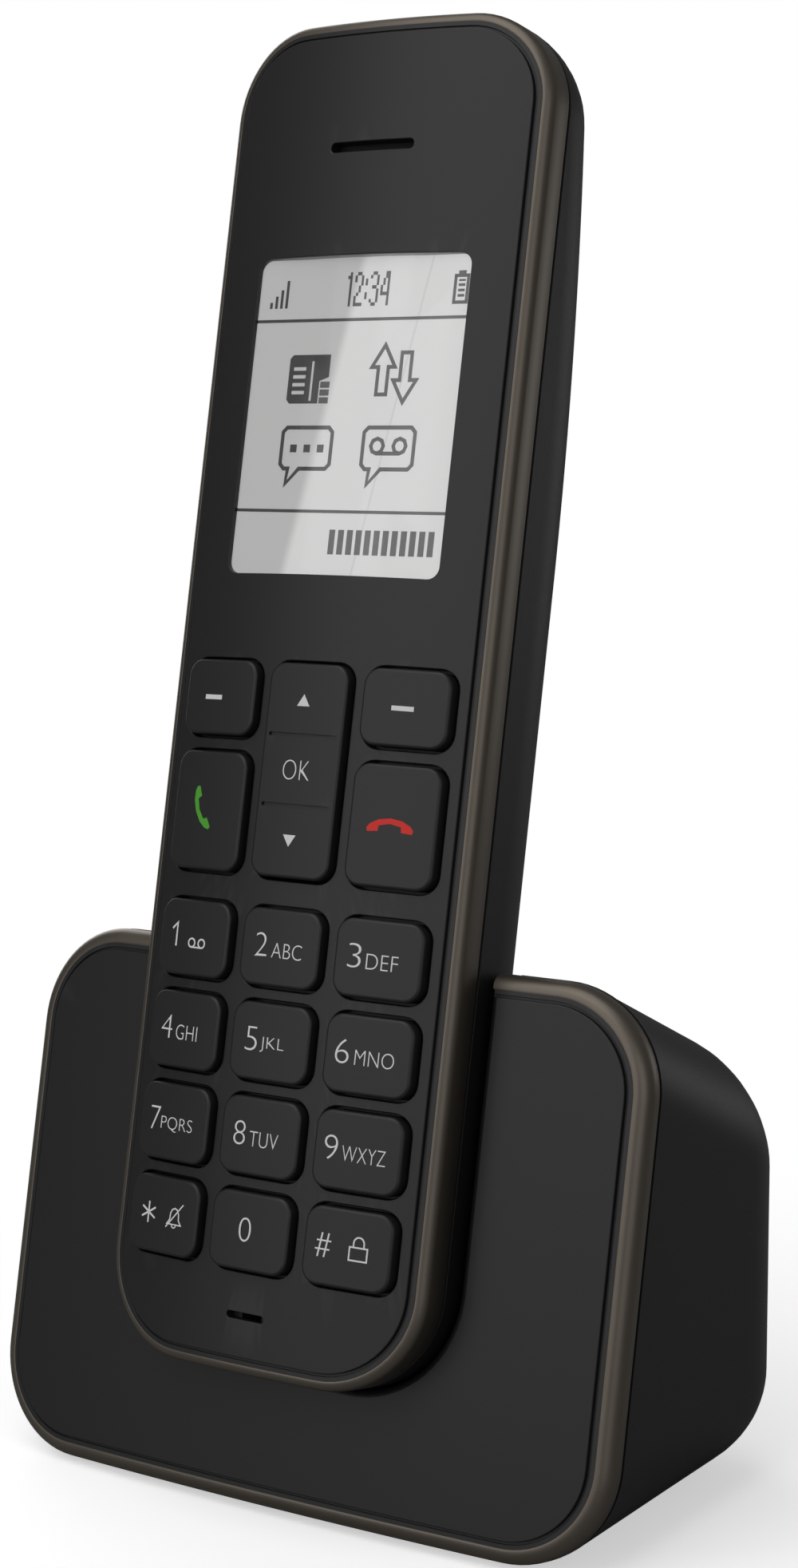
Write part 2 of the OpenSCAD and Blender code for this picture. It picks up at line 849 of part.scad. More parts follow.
module key_end() {
  color(matt_black) key_cap(column_pitch, call_centre, key_width, call_height);
}

module key_soft_left() {
  color(matt_black) key_cap(-column_pitch, soft_centre, key_width, soft_height);
}

module key_soft_right() {
  color(matt_black) key_cap(column_pitch, soft_centre, key_width, soft_height);
}

// Long rocking key with two engraved lines; it pivots on its carrier
module key_menu() {
  line_depth = 0.3;
  line_place = 4.44;
  flange_reach = 5;
  color(matt_black) handset_frame() difference() {
    union() {
      intersection() {
        key_prism(0, menu_centre, key_width, menu_height, -key_clearance, -past, key_floor);
        behind_handset_front(-key_rise + key_bevel);
      }
      intersection() {
        key_prism(0, menu_centre, key_width, menu_height, -key_clearance - key_bevel, -past,
          key_floor);
        behind_handset_front(-key_rise);
      }
      intersection() {
        key_prism(0, menu_centre, key_width, 2 * flange_reach, key_flange, 0, key_floor);
        behind_handset_front(front_wall + flange_gap);
      }
    }
    for (side = [-1, 1])
      translate([0, -key_rise, menu_centre + side * line_place])
        cube([key_width - 2.4, 2 * line_depth, 0.5], center = true);
    block(-3.6, 3.6, pivot_depth - 1.4, key_floor + 1, menu_centre - 1.6, menu_centre + 1.6);
    translate([-pivot_length / 2 - 0.2, pivot_depth, menu_centre]) rotate([0, 90, 0])
      cylinder(h = pivot_length + 0.4, r = pivot_radius + pivot_clearance);
  }
}

module key_menu_carrier() {
  color(soft_grey) handset_frame() {
    translate([-pivot_length / 2, pivot_depth, menu_centre]) rotate([0, 90, 0])
      cylinder(h = pivot_length, r = pivot_radius);
    block(-3.3, 3.3, pivot_depth, key_floor + 0.7, menu_centre - 1, menu_centre + 1);
  }
}

// ---------- base ----------

module base_front_panel() {
  color(matt_black) difference() {
    union() {
      face_frame() difference() {
        intersection() {
          pushed(-1, 4 * past) base_outline(-base_ring_width);
          behind_base_front(0);
        }
        behind_base_front(base_ring_depth);
        intersection() {
          pushed(-1, 4 * past) base_outline(-base_ring_width - skirt_wall);
          behind_base_front(front_wall);
        }
        lip_cut() {
          base_outline(-base_margin + groove_width);
          base_outline(-base_margin);
          behind_base_front(groove_depth);
        }
        lip_cut() {
          base_outline(0);
          base_outline(-base_margin + groove_width);
          behind_base_front(lip_drop);
        }
      }
      intersection() {
        cradle_outside();
        union() {
          face_frame() intersection() {
            pushed(-1, 4 * past) base_outline(-base_ring_width);
            difference() {
              behind_base_front(front_wall / 2);
              behind_base_front(base_ring_depth);
            }
          }
          intersection() {
            base_form(0);
            face_frame() behind_base_front(base_ring_depth);
          }
        }
      }
    }
    cradle_space();
    face_frame() for (side = [-1, 1])
      translate([side * contact_pitch / 2, pin_depth, pin_under - 1])
        cylinder(h = cradle_wall + 3, r = pin_radius + pin_clearance);
  }
}

module base_trim_ring() {
  edge_front = base_front_radius - sqrt(pow(base_front_radius, 2) - pow(base_half, 2));
  color(bronze) difference() {
    face_frame() difference() {
      intersection() {
        pushed(-1, 4 * past) base_outline(0);
        behind_base_front(lip_drop);
      }
      behind_base_front(base_ring_depth);
      pushed(-2, 5 * past) base_outline(-base_ring_width);
      ring_bevel(base_half, face_low, face_high, edge_front + lip_drop);
    }
    cradle_space();
  }
}

module base_body() {
  color(deep_black) difference() {
    intersection() {
      base_form(0);
      face_frame() behind_base_front(base_ring_depth);
    }
    base_form(base_wall);
    cradle_outside();
    // Shadow gap behind the trim ring
    face_frame() difference() {
      pushed(-1, 6 * past) base_outline(past);
      pushed(-2, 7 * past) base_outline(-seam_reach);
      behind_base_front(base_ring_depth + seam_gap);
    }
    // Seat and opening of the bottom plate
    translate([0, plate_middle, foot_height - 1]) {
      linear_extrude(plate_thickness + 1)
        tablet(2 * (plate_half + plate_gap), plate_length + 2 * plate_gap, plate_corner);
      linear_extrude(base_wall + 2)
        tablet(2 * (plate_half - plate_seat), plate_length - 2 * plate_seat, plate_corner);
      for (side = [-1, 1])
        for (end = [-1, 1])
          translate([side * plate_screw_x, end * plate_screw_y, 0])
            cylinder(h = base_wall + 2, r = plate_screw_shank);
    }
    // Mouths of the two sockets
    translate([-socket_place - line_width / 2, rear_y - base_wall - 1,
      socket_height - mouth_height / 2]) cube([line_width, base_wall + 2, mouth_height]);
    translate([socket_place - power_width / 2, rear_y - base_wall - 1,
      socket_height - mouth_height / 2]) cube([power_width, base_wall + 2, mouth_height]);
    translate([0, rear_y + 1, button_height]) rotate([90, 0, 0])
      cylinder(h = base_wall + 2, r = button_radius + button_clearance);
  }
}

module base_bottom_plate() {
  color(deep_black) translate([0, plate_middle, foot_height]) difference() {
    union() {
      linear_extrude(plate_thickness) tablet(2 * plate_half, plate_length, plate_corner);
      for (side = [-1, 1])
        for (end = [-1, 1])
          translate([side * (plate_half - post_inset), end * (plate_length / 2 - post_inset), 0])
            cylinder(h = base_board_z - foot_height, r = post_radius);
    }
    for (side = [-1, 1])
      for (end = [-1, 1]) {
        translate([side * (plate_half - foot_inset), end * foot_row, -1])
          cylinder(h = 1 + foot_pocket, r = foot_radius);
        translate([side * plate_screw_x, end * plate_screw_y, -1]) {
          cylinder(h = plate_thickness + 2, r = plate_screw_shank);
          cylinder(h = 1 + plate_screw_head_height, r = plate_screw_head);
        }
      }
  }
}

module base_feet() {
  color(soft_grey) translate([0, plate_middle, 0])
    for (side = [-1, 1])
      for (end = [-1, 1])
        translate([side * (plate_half - foot_inset), end * foot_row, 0])
          cylinder(h = foot_height + foot_pocket, r = foot_radius);
}

// Screws that hold the bottom plate against the ledge of the body
module base_screws() {
  color(metal) translate([0, plate_middle, foot_height])
    for (side = [-1, 1])
      for (end = [-1, 1])
        translate([side * plate_screw_x, end * plate_screw_y, 0]) {
          cylinder(h = plate_screw_head_height, r = plate_screw_head);
          cylinder(h = base_wall, r = plate_screw_shank);
        }
}

module base_board() {
  half = plate_half - 3.5;
  color(board_green) translate([-half, plate_front + 3.5, base_board_z])
    cube([2 * half, base_board_rear - plate_front - 3.5, base_board_thickness]);
}

// Moulded socket with a mouth to the rear
module socket(x, width) {
  wall = socket_wall;
  back = rear_y - base_wall;
  difference() {
    translate([x - width / 2 - wall, back - mouth_depth, socket_height - mouth_height / 2 - wall])
      cube([width + 2 * wall, mouth_depth, mouth_height + 2 * wall]);
    translate([x - width / 2, back - mouth_depth + wall, socket_height - mouth_height / 2])
      cube([width, mouth_depth, mouth_height]);
    translate([x - width / 6, back - mouth_depth + wall, socket_height - mouth_height / 2 - wall / 2])
      cube([width / 3, mouth_depth, wall]);
  }
}

// Four sprung wires that slope down into a socket
module socket_wires(x) {
  wire = 0.4;
  wire_length = 3.6;
  wire_pitch = 1.3;
  wire_slope = 24;
  back = rear_y - base_wall - mouth_depth + socket_wall;
  for (step = [-1.5, -0.5, 0.5, 1.5])
    translate([x + step * wire_pitch, back + 0.18, socket_height + mouth_height / 2 - 0.05])
      rotate([-wire_slope, 0, 0]) translate([-wire / 2, 0, -wire]) cube([wire, wire_length, wire]);
}

module line_socket() {
  color(soft_grey) socket(-socket_place, line_width);
}

module power_socket() {
  color(soft_grey) socket(socket_place, power_width);
}

module line_contacts() {
  color(gold) socket_wires(-socket_place);
}

module power_contacts() {
  color(gold) socket_wires(socket_place);
}

module page_button() {
  color(soft_grey) translate([0, rear_y, button_height]) rotate([90, 0, 0]) {
    translate([0, 0, -button_rise]) cylinder(h = base_wall + button_rise + 1.4, r = button_radius);
    translate([0, 0, base_wall + 0.4]) cylinder(h = 1, r = button_radius + 1);
  }
}

// Push switch on an upright strip that stands on the board
module page_switch() {
  front = rear_y - base_wall - 6.4;
  color(metal) {
    translate([-switch_size / 2, front, button_height - switch_size / 2])
      cube([switch_size, switch_depth, switch_size]);
    translate([-switch_size / 2, front - 1, base_board_z + base_board_thickness])
      cube([switch_size, 1, button_height + switch_size / 2 - base_board_z - base_board_thickness]);
  }
}

// Sprung pin with a collar that stops under the cradle's floor
module charge_pin(side) {
  tip = dock_height + pin_entry;
  color(gold) face_frame() translate([side * contact_pitch / 2, pin_depth, 0]) {
    translate([0, 0, pin_under - 3.4]) cylinder(h = tip - pin_radius - pin_under + 3.4, r = pin_radius);
    translate([0, 0, tip - pin_radius]) sphere(pin_radius, $fn = 48);
    translate([0, 0, pin_under - 0.1 - collar_height]) cylinder(h = collar_height, r = collar_radius);
  }
}

// Block under the cradle that guides both collars
module charge_pin_housing() {
  reach = collar_radius + collar_clearance + housing_wall;
  color(soft_grey) face_frame() difference() {
    translate([-contact_pitch / 2 - reach, pin_depth - reach, pin_under - housing_height])
      cube([contact_pitch + 2 * reach, 2 * reach, housing_height]);
    for (side = [-1, 1])
      translate([side * contact_pitch / 2, pin_depth, pin_under - housing_height + 1])
        cylinder(h = housing_height, r = collar_radius + collar_clearance);
  }
}

// Stack of rings that stands for each pin's coil spring
module charge_springs() {
  color(metal) face_frame() for (side = [-1, 1])
    translate([side * contact_pitch / 2, pin_depth, pin_under - housing_height + 1])
      difference() {
        cylinder(h = 1.6, r = 1.8);
        translate([0, 0, -1]) cylinder(h = 4, r = 1.4);
      }
}

handset_front_cover();
handset_trim_ring();
handset_back_shell();
battery_door();
battery_cell(-1);  // battery_cell_left
battery_cell(1);  // battery_cell_right
battery_contacts();
display_lens();
display_panel();
display_frame();
key_mat();
handset_board();
earpiece_speaker();
earpiece_gasket();
ringer_speaker();
microphone();
microphone_boot();
handset_charge_contacts();
handset_antenna();
handset_screws();
key_soft_left();
key_soft_right();
key_call();
key_end();
key_menu();
key_menu_carrier();
number_key(-1, 3);  // key_1
number_key(0, 3);  // key_2
number_key(1, 3);  // key_3
number_key(-1, 2);  // key_4
number_key(0, 2);  // key_5
number_key(1, 2);  // key_6
number_key(-1, 1);  // key_7
number_key(0, 1);  // key_8
number_key(1, 1);  // key_9
number_key(-1, 0);  // key_star
number_key(0, 0);  // key_0
number_key(1, 0);  // key_hash
base_front_panel();
base_trim_ring();
base_body();
base_bottom_plate();
base_feet();
base_screws();
base_board();
line_socket();
power_socket();
line_contacts();
power_contacts();
page_button();
page_switch();
charge_pin(-1);  // charge_pin_left
charge_pin(1);  // charge_pin_right
charge_pin_housing();
charge_springs();
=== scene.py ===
import json
import math

import bmesh
import bpy
import numpy as np
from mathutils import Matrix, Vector


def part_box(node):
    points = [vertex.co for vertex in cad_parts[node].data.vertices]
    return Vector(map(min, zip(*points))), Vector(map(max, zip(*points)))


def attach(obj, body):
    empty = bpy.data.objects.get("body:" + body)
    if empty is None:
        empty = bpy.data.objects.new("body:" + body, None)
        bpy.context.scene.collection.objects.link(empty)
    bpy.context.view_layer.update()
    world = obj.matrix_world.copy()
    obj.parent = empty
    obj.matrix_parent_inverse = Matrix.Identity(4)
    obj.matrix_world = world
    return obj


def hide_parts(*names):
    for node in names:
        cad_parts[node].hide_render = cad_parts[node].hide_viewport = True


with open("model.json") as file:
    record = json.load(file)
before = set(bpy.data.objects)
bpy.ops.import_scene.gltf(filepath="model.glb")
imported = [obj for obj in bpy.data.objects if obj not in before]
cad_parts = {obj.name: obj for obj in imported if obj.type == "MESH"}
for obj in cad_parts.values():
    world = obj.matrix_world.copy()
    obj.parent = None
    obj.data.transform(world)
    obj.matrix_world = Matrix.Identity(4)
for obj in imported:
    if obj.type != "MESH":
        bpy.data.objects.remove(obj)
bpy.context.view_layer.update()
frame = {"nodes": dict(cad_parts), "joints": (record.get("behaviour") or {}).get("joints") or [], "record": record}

MM = 0.001

# ---------------------------------------------------------------- places
# The leaning frames: x across, depth into the phone, height up along the lean.
LEAN = math.radians(11)
ACROSS = np.array([1.0, 0.0, 0.0])
INTO = np.array([0.0, math.cos(LEAN), -math.sin(LEAN)])
UP = np.array([0.0, math.sin(LEAN), math.cos(LEAN)])
ROCK_DEPTH, ROCK_HEIGHT = 3.9, 75.575
STAND_OFF, DOCK_HEIGHT = 8.3, 17.3
rock = next(j for j in frame["joints"] if j["name"] == "key_menu_rock")
HANDSET_FOOT = np.array(rock["pos_m"]) / MM - ROCK_DEPTH * INTO - ROCK_HEIGHT * UP
FACE_FOOT = HANDSET_FOOT + STAND_OFF * INTO - DOCK_HEIGHT * UP
BODY_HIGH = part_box("base_body")[1]
REAR = BODY_HIGH.y / MM
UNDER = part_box("base_body")[0].z / MM

# Handset sizes in millimetres
HALF, LENGTH, THICK = 24.2, 171.9, 24.2
LOW_CORNER, TOP_CORNER = 13.2, 11.7
FRONT_RADIUS = 108.0
MARGIN, LIP_START, RING_WIDTH = 2.2, 1.87, 1.27
RING_DEPTH = 4.7
SEAM, SEAM_IN, LIP_DROP, GROOVE = 0.3, 0.8, 0.35, 0.6
BACK_ROUND = 12.0
TAPER_START, TAPER_RADIUS = 103.0, 394.0
PANEL_WALL = 1.6

# Base sizes in millimetres
BASE_HALF, FACE_LOW, FACE_HIGH, FACE_CORNER = 47.3, -0.2, 70.5, 13.4
BASE_RADIUS = 427.0
BASE_MARGIN, BASE_LIP, BASE_RING_WIDTH, BASE_RING_DEPTH = 2.9, 2.57, 1.97, 3.5
TOP_SLOPE = math.radians(22.7)
CRADLE_GAP, CRADLE_WALL, CRADLE_FLOOR = 1.1, 1.8, 0.3
BODY_WALL = 2.4

# Key sizes in millimetres
COLUMN, ROW, FIRST_ROW = 14.2, 11.8, 17.87
KEY_WIDTH, KEY_HEIGHT, KEY_CORNER, KEY_GAP, KEY_RISE = 12.7, 10.43, 2.5, 0.35, 1.15
KEY_FLOOR = 4.9
FUNCTION_LOW, CALL_HEIGHT, SOFT_HEIGHT, FUNCTION_GAP = 61.7, 15.95, 10.35, 1.45
FUNCTION_HIGH = FUNCTION_LOW + CALL_HEIGHT + FUNCTION_GAP + SOFT_HEIGHT
MENU_CENTRE = (FUNCTION_LOW + FUNCTION_HIGH) / 2

# Openings above the keys in millimetres
WINDOW_CENTRE, WINDOW_HALF_X, WINDOW_HALF_Z, WINDOW_CORNER = 120.9, 16.2, 20.45, 1.6
EARPIECE_CENTRE, EARPIECE_HALF_X, EARPIECE_HALF_Z, EARPIECE_CORNER = 155.25, 6.3, 0.625, 0.6


def place(x, depth, height, foot):
    """Points in metres: the foot, plus x across, depth into the phone and height up the lean."""
    x, depth, height = np.broadcast_arrays(x, depth, height)
    return (foot + x[..., None] * ACROSS + depth[..., None] * INTO + height[..., None] * UP) * MM


def handset_front(x):
    """Depth of the handset's curved front: a circle of 108 mm, seen from above."""
    return FRONT_RADIUS - np.sqrt(FRONT_RADIUS ** 2 - np.asarray(x, float) ** 2)


def base_front(x):
    """Depth of the base's curved front: a circle of 427 mm, seen from above."""
    return BASE_RADIUS - np.sqrt(BASE_RADIUS ** 2 - np.asarray(x, float) ** 2)


# ---------------------------------------------------------------- meshes
def make_piece(name, points, faces, body, material, sharp=32, replaced=()):
    """Mesh piece from an array of points in metres and a list of face arrays, all at the origin."""
    mesh = bpy.data.meshes.new(name)
    mesh.from_pydata(points.reshape(-1, 3).tolist(), [], [f for block in faces for f in block.tolist()])
    mesh.validate()
    return finish_piece(name, mesh, body, material, sharp, replaced)


def finish_piece(name, mesh, body, material, sharp, replaced):
    """Object for a mesh: smooth, with edges sharper than the given angle kept crisp."""
    mesh.update()
    mesh.polygons.foreach_set("use_smooth", np.ones(len(mesh.polygons), bool))
    mesh.set_sharp_from_angle(angle=math.radians(sharp))
    mesh.materials.clear()
    mesh.materials.append(material)
    piece = bpy.data.objects.new(name, mesh)
    bpy.context.scene.collection.objects.link(piece)
    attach(piece, body)
    if replaced:
        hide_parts(*replaced)
    return piece


def true_face(piece, direction):
    """Gives every face that lies along a smooth surface that surface's own normals, so that openings leave
    no marks in the shine. The direction is a function of x and of height along the lean."""
    mesh = piece.data
    count = len(mesh.loops)
    vertex, sides = np.empty(count, np.int32), np.empty(len(mesh.polygons), np.int32)
    points, facing = np.empty(len(mesh.vertices) * 3), np.empty(len(mesh.polygons) * 3)
    corner = np.empty(count * 3)
    mesh.loops.foreach_get("vertex_index", vertex)
    mesh.polygons.foreach_get("loop_total", sides)
    mesh.polygons.foreach_get("normal", facing)
    mesh.vertices.foreach_get("co", points)
    mesh.corner_normals.foreach_get("vector", corner)
    local = points.reshape(-1, 3)[vertex] / MM - HANDSET_FOOT
    normal = direction(local @ ACROSS, local @ UP)
    along = (np.repeat(facing.reshape(-1, 3), sides, 0) * normal).sum(1, keepdims=True) > 0.997
    mesh.normals_split_custom_set(np.where(along, normal, corner.reshape(-1, 3)).tolist())
    return piece


def curved_front(radius):
    """Direction of a front that is a circle seen from above: across by x over the radius, the rest out."""
    def direction(x, height):
        """Outward direction of the curved front at x; the height makes no difference to it."""
        lean = np.clip(x / radius, -1, 1)[:, None]
        return lean * ACROSS - np.sqrt(1 - lean ** 2) * INTO
    return direction


def thinning_back(x, height):
    """Direction of the handset's back: straight out, and turned upwards where the back thins."""
    rise = (np.clip(height - TAPER_START, 0, LENGTH) / TAPER_RADIUS)[:, None]
    return rise * UP + np.sqrt(1 - rise ** 2) * INTO


def quads(rows, columns, first=0, around=True):
    """Quads of a grid of points, row by row, joined round along its columns."""
    r = np.arange(rows - 1)[:, None]
    c = np.arange(columns if around else columns - 1)[None, :]
    n = (c + 1) % columns
    return (first + np.stack([r * columns + c, r * columns + n, (r + 1) * columns + n,
                              (r + 1) * columns + c], -1)).reshape(-1, 4)


def fan(row, columns, pole, flip=False, first=0):
    """Triangles from one row of a grid to a single pole point."""
    c = np.arange(columns)
    n = (c + 1) % columns
    a, b = first + row * columns + c, first + row * columns + n
    return np.stack([b, a, np.full(columns, pole)] if not flip else [a, b, np.full(columns, pole)], -1)


def lofted(rows, start, end):
    """Closed skin through rows of points, each end drawn in to one pole point.
    Rows run round the form, and follow each other from the start pole to the end pole."""
    m, n = rows.shape[:2]
    points = np.concatenate([rows.reshape(-1, 3), np.array([start, end]).reshape(2, 3)])
    return points, [quads(m, n), fan(0, n, m * n), fan(m - 1, n, m * n + 1, flip=True)]


def turned_out(mesh):
    """Makes all faces of a closed mesh point outwards."""
    work = bmesh.new()
    work.from_mesh(mesh)
    bmesh.ops.recalc_face_normals(work, faces=work.faces)
    work.to_mesh(mesh)
    work.free()


def outline(inset, half, low, high, low_round, high_round, across=17, along=35, arc=13):
    """Rounded rectangle, run anticlockwise from the low right corner: four quarter circles and the
    straight runs between them. Every size may be a column of values, for one row each."""
    size = [np.asarray(v, float).reshape(-1, 1) for v in (inset, half, low, high, low_round, high_round)]
    inset, half, low, high, low_round, high_round = np.broadcast_arrays(*size)
    a, b, c = half - inset, low + inset, high - inset
    rl, rh = np.maximum(low_round - inset, 0.02), np.maximum(high_round - inset, 0.02)
    turn = np.linspace(0, math.pi / 2, arc)[None, :]
    step = np.linspace(0, 1, along)[None, 1:-1]
    side = np.linspace(0, 1, across)[None, 1:-1]
    xs = [a - rl + rl * np.sin(turn), a + 0 * step, a - rh + rh * np.cos(turn),
          (a - rh) * (1 - 2 * side), -a + rh - rh * np.sin(turn), -a + 0 * step,
          -a + rl - rl * np.cos(turn), (a - rl) * (2 * side - 1)]
    zs = [b + rl - rl * np.cos(turn), b + rl + (c - rh - b - rl) * step, c - rh + rh * np.sin(turn),
          c + 0 * side, c - rh + rh * np.cos(turn), c - rh - (c - rh - b - rl) * step,
          b + rl - rl * np.sin(turn), b + 0 * side]
    return np.concatenate(xs, 1), np.concatenate(zs, 1)


def solid_mesh(name, points, faces):
    """Closed mesh datablock with its faces turned outwards."""
    mesh = bpy.data.meshes.new(name)
    mesh.from_pydata(points.reshape(-1, 3).tolist(), [], [f for block in faces for f in block.tolist()])
    turned_out(mesh)
    return mesh


def carved(name, mesh, cuts, added=(), kept=()):
    """The mesh joined with the added solids, limited to the kept ones, and then cut by the others."""
    thing = bpy.data.objects.new(name + "_raw", mesh)
    bpy.context.scene.collection.objects.link(thing)
    tools = []
    for operation, meshes in (("UNION", added), ("INTERSECT", kept), ("DIFFERENCE", cuts)):
        for cutter in meshes:
            tool = bpy.data.objects.new("tool", cutter)
            bpy.context.scene.collection.objects.link(tool)
            tools.append(tool)
            step = thing.modifiers.new(operation, "BOOLEAN")
            step.operation, step.object, step.solver = operation, tool, "EXACT"
    bpy.context.view_layer.update()
    result = bpy.data.meshes.new_from_object(thing.evaluated_get(bpy.context.evaluated_depsgraph_get()))
    result.name = name
    for tool in tools + [thing]:
        bpy.data.objects.remove(tool)
    return result


def prism(x, z, half_x, half_z, corner, near, far, foot, front=None, flare=0.0):
    """Rounded bar through the thickness. With a front curve its mouth flares by a quarter circle."""
    turn = np.linspace(math.radians(82), 0, 6) if flare else np.array([0.0])
    out = np.concatenate([[flare] if flare else [0], flare * (1 - np.cos(turn)), [0]])
    lift = np.concatenate([[near], flare * (1 - np.sin(turn)) if flare else [(near + far) / 2], [far]])
    px, pz = outline(-out, half_x, -half_z, half_z, corner, corner, across=9, along=9, arc=7)
    px, pz = px + x, pz + z
    curve = front(px) if front else 0 * px
    rows = place(px, lift[:, None] + curve, pz, foot)
    ends = [place(np.array(x), np.array(d + (front(x) if front else 0)), np.array(z), foot)
            for d in (near, far)]
    return solid_mesh("cut", *lofted(rows, *ends))


def drum(x, z, radius, near, far, foot, sides=40):
    """Round bar through the thickness, as a ring of points swept from near to far."""
    turn = np.linspace(0, 2 * math.pi, sides, endpoint=False)
    rows = place((x + radius * np.cos(turn))[None, :], np.array([near, far])[:, None],
                 (z + radius * np.sin(turn))[None, :], foot)
    ends = [place(np.array(x), np.array(d), np.array(z), foot) for d in (near, far)]
    return solid_mesh("cut", *lofted(rows, *ends))


# ---------------------------------------------------------------- materials
def node_of(tree, kind, **values):
    """Adds a shader node and sets its plain properties and named inputs."""
    made = tree.nodes.new(kind)
    for key, value in values.items():
        if key in made.inputs:
            made.inputs[key].default_value = value
        else:
            setattr(made, key, value)
    return made


def finish(name, colour, roughness, metallic=0.0, grain=900.0, bump=0.12, spread=0.06, drift=0.12,
           edge_tone=None, stretch=(1, 1, 1)):
    """Moulded or lacquered surface: fine grain in bump and roughness, slow drift in colour, and a lighter
    tone on sharp convex edges, patchy along them."""
    material = bpy.data.materials.new(name)
    material.use_nodes = True
    tree = material.node_tree
    tree.nodes.clear()
    link = tree.links.new
    out = node_of(tree, "ShaderNodeOutputMaterial")
    skin = node_of(tree, "ShaderNodeBsdfPrincipled", Metallic=metallic)
    where = node_of(tree, "ShaderNodeTexCoord")
    mapping = node_of(tree, "ShaderNodeMapping")
    mapping.inputs["Scale"].default_value = stretch
    link(where.outputs["Object"], mapping.inputs["Vector"])
    fine = node_of(tree, "ShaderNodeTexNoise", Scale=grain, Detail=3.0, Roughness=0.6)
    slow = node_of(tree, "ShaderNodeTexNoise", Scale=28.0, Detail=2.0)
    link(mapping.outputs[0], fine.inputs["Vector"])
    link(where.outputs["Object"], slow.inputs["Vector"])
    darker = tuple(c * (1 - drift) for c in colour) + (1,)
    lighter = tuple(min(1, c * (1 + drift)) for c in colour) + (1,)
    tone = node_of(tree, "ShaderNodeMix", data_type="RGBA")
    tone.inputs[6].default_value, tone.inputs[7].default_value = darker, lighter
    link(slow.outputs["Fac"], tone.inputs[0])
    last = tone.outputs[2]
    # Lighter tone on sharp convex edges, from pointiness, made patchy by the slow noise
    if edge_tone:
        edge = node_of(tree, "ShaderNodeNewGeometry")
        ramp = node_of(tree, "ShaderNodeValToRGB")
        ramp.color_ramp.elements[0].position, ramp.color_ramp.elements[1].position = 0.54, 0.68
        link(edge.outputs["Pointiness"], ramp.inputs[0])
        edge_share = node_of(tree, "ShaderNodeMath", operation="MULTIPLY")
        link(ramp.outputs[0], edge_share.inputs[0])
        link(slow.outputs["Fac"], edge_share.inputs[1])
        edge_toned = node_of(tree, "ShaderNodeMix", data_type="RGBA")
        edge_toned.inputs[7].default_value = tuple(edge_tone) + (1,)
        link(edge_share.outputs[0], edge_toned.inputs[0])
        link(last, edge_toned.inputs[6])
        last = edge_toned.outputs[2]
    link(last, skin.inputs["Base Color"])
    rough = node_of(tree, "ShaderNodeMapRange")
    rough.inputs["To Min"].default_value = max(0.03, roughness - spread)
    rough.inputs["To Max"].default_value = min(1.0, roughness + spread)
    link(fine.outputs["Fac"], rough.inputs["Value"])
    link(rough.outputs[0], skin.inputs["Roughness"])
    relief = node_of(tree, "ShaderNodeBump", Strength=bump, Distance=0.00004)
    link(fine.outputs["Fac"], relief.inputs["Height"])
    link(relief.outputs[0], skin.inputs["Normal"])
    link(skin.outputs[0], out.inputs[0])
    return material


PANEL = finish("panel_black", (0.0095, 0.0095, 0.0096), 0.42, grain=2600, bump=0.10,
               edge_tone=(0.03, 0.03, 0.03))
KEYCAP = finish("keycap_black", (0.0125, 0.0125, 0.0127), 0.44, grain=3200, bump=0.10,
                edge_tone=(0.035, 0.035, 0.035))
SHELL = finish("shell_black", (0.0085, 0.0085, 0.0086), 0.46, grain=2200, bump=0.16,
               edge_tone=(0.03, 0.03, 0.03))
BRONZE = finish("bronze_lacquer", (0.165, 0.143, 0.118), 0.40, metallic=0.8, grain=5200, bump=0.06,
                spread=0.04, drift=0.05, edge_tone=(0.16, 0.14, 0.12))
INNER = finish("inner_moulding", (0.035, 0.035, 0.037), 0.55, grain=1600)
SILICONE = finish("silicone", (0.018, 0.018, 0.019), 0.65, grain=1500, bump=0.2)
FOOT = finish("foot_rubber", (0.02, 0.02, 0.02), 0.8, grain=1300, bump=0.35)
BOARD = finish("circuit_green", (0.02, 0.11, 0.045), 0.35, grain=700, bump=0.25)
METAL = finish("plated_steel", (0.62, 0.62, 0.63), 0.28, metallic=1.0, grain=2400, stretch=(1, 6, 1))
GOLD = finish("gold_plating", (0.82, 0.58, 0.22), 0.24, metallic=1.0, grain=2000)
JACKET = finish("cell_jacket", (0.10, 0.11, 0.14), 0.30, metallic=0.3, grain=1200)
LEGEND = finish("legend_white", (0.85, 0.85, 0.84), 0.6, grain=4000, bump=0.03, drift=0.03)
GREEN = finish("legend_green", (0.085, 0.42, 0.03), 0.55, grain=4000, bump=0.03, drift=0.04)
RED = finish("legend_red", (0.78, 0.02, 0.012), 0.55, grain=4000, bump=0.03, drift=0.04)


# Where the painted reflection on the display starts, how it leans with height, and where its thin painted line
# lies, in metres across
REFLECTION_START, REFLECTION_SLOPE, REFLECTION_LINE_START = -0.0042, 0.19, 0.0062


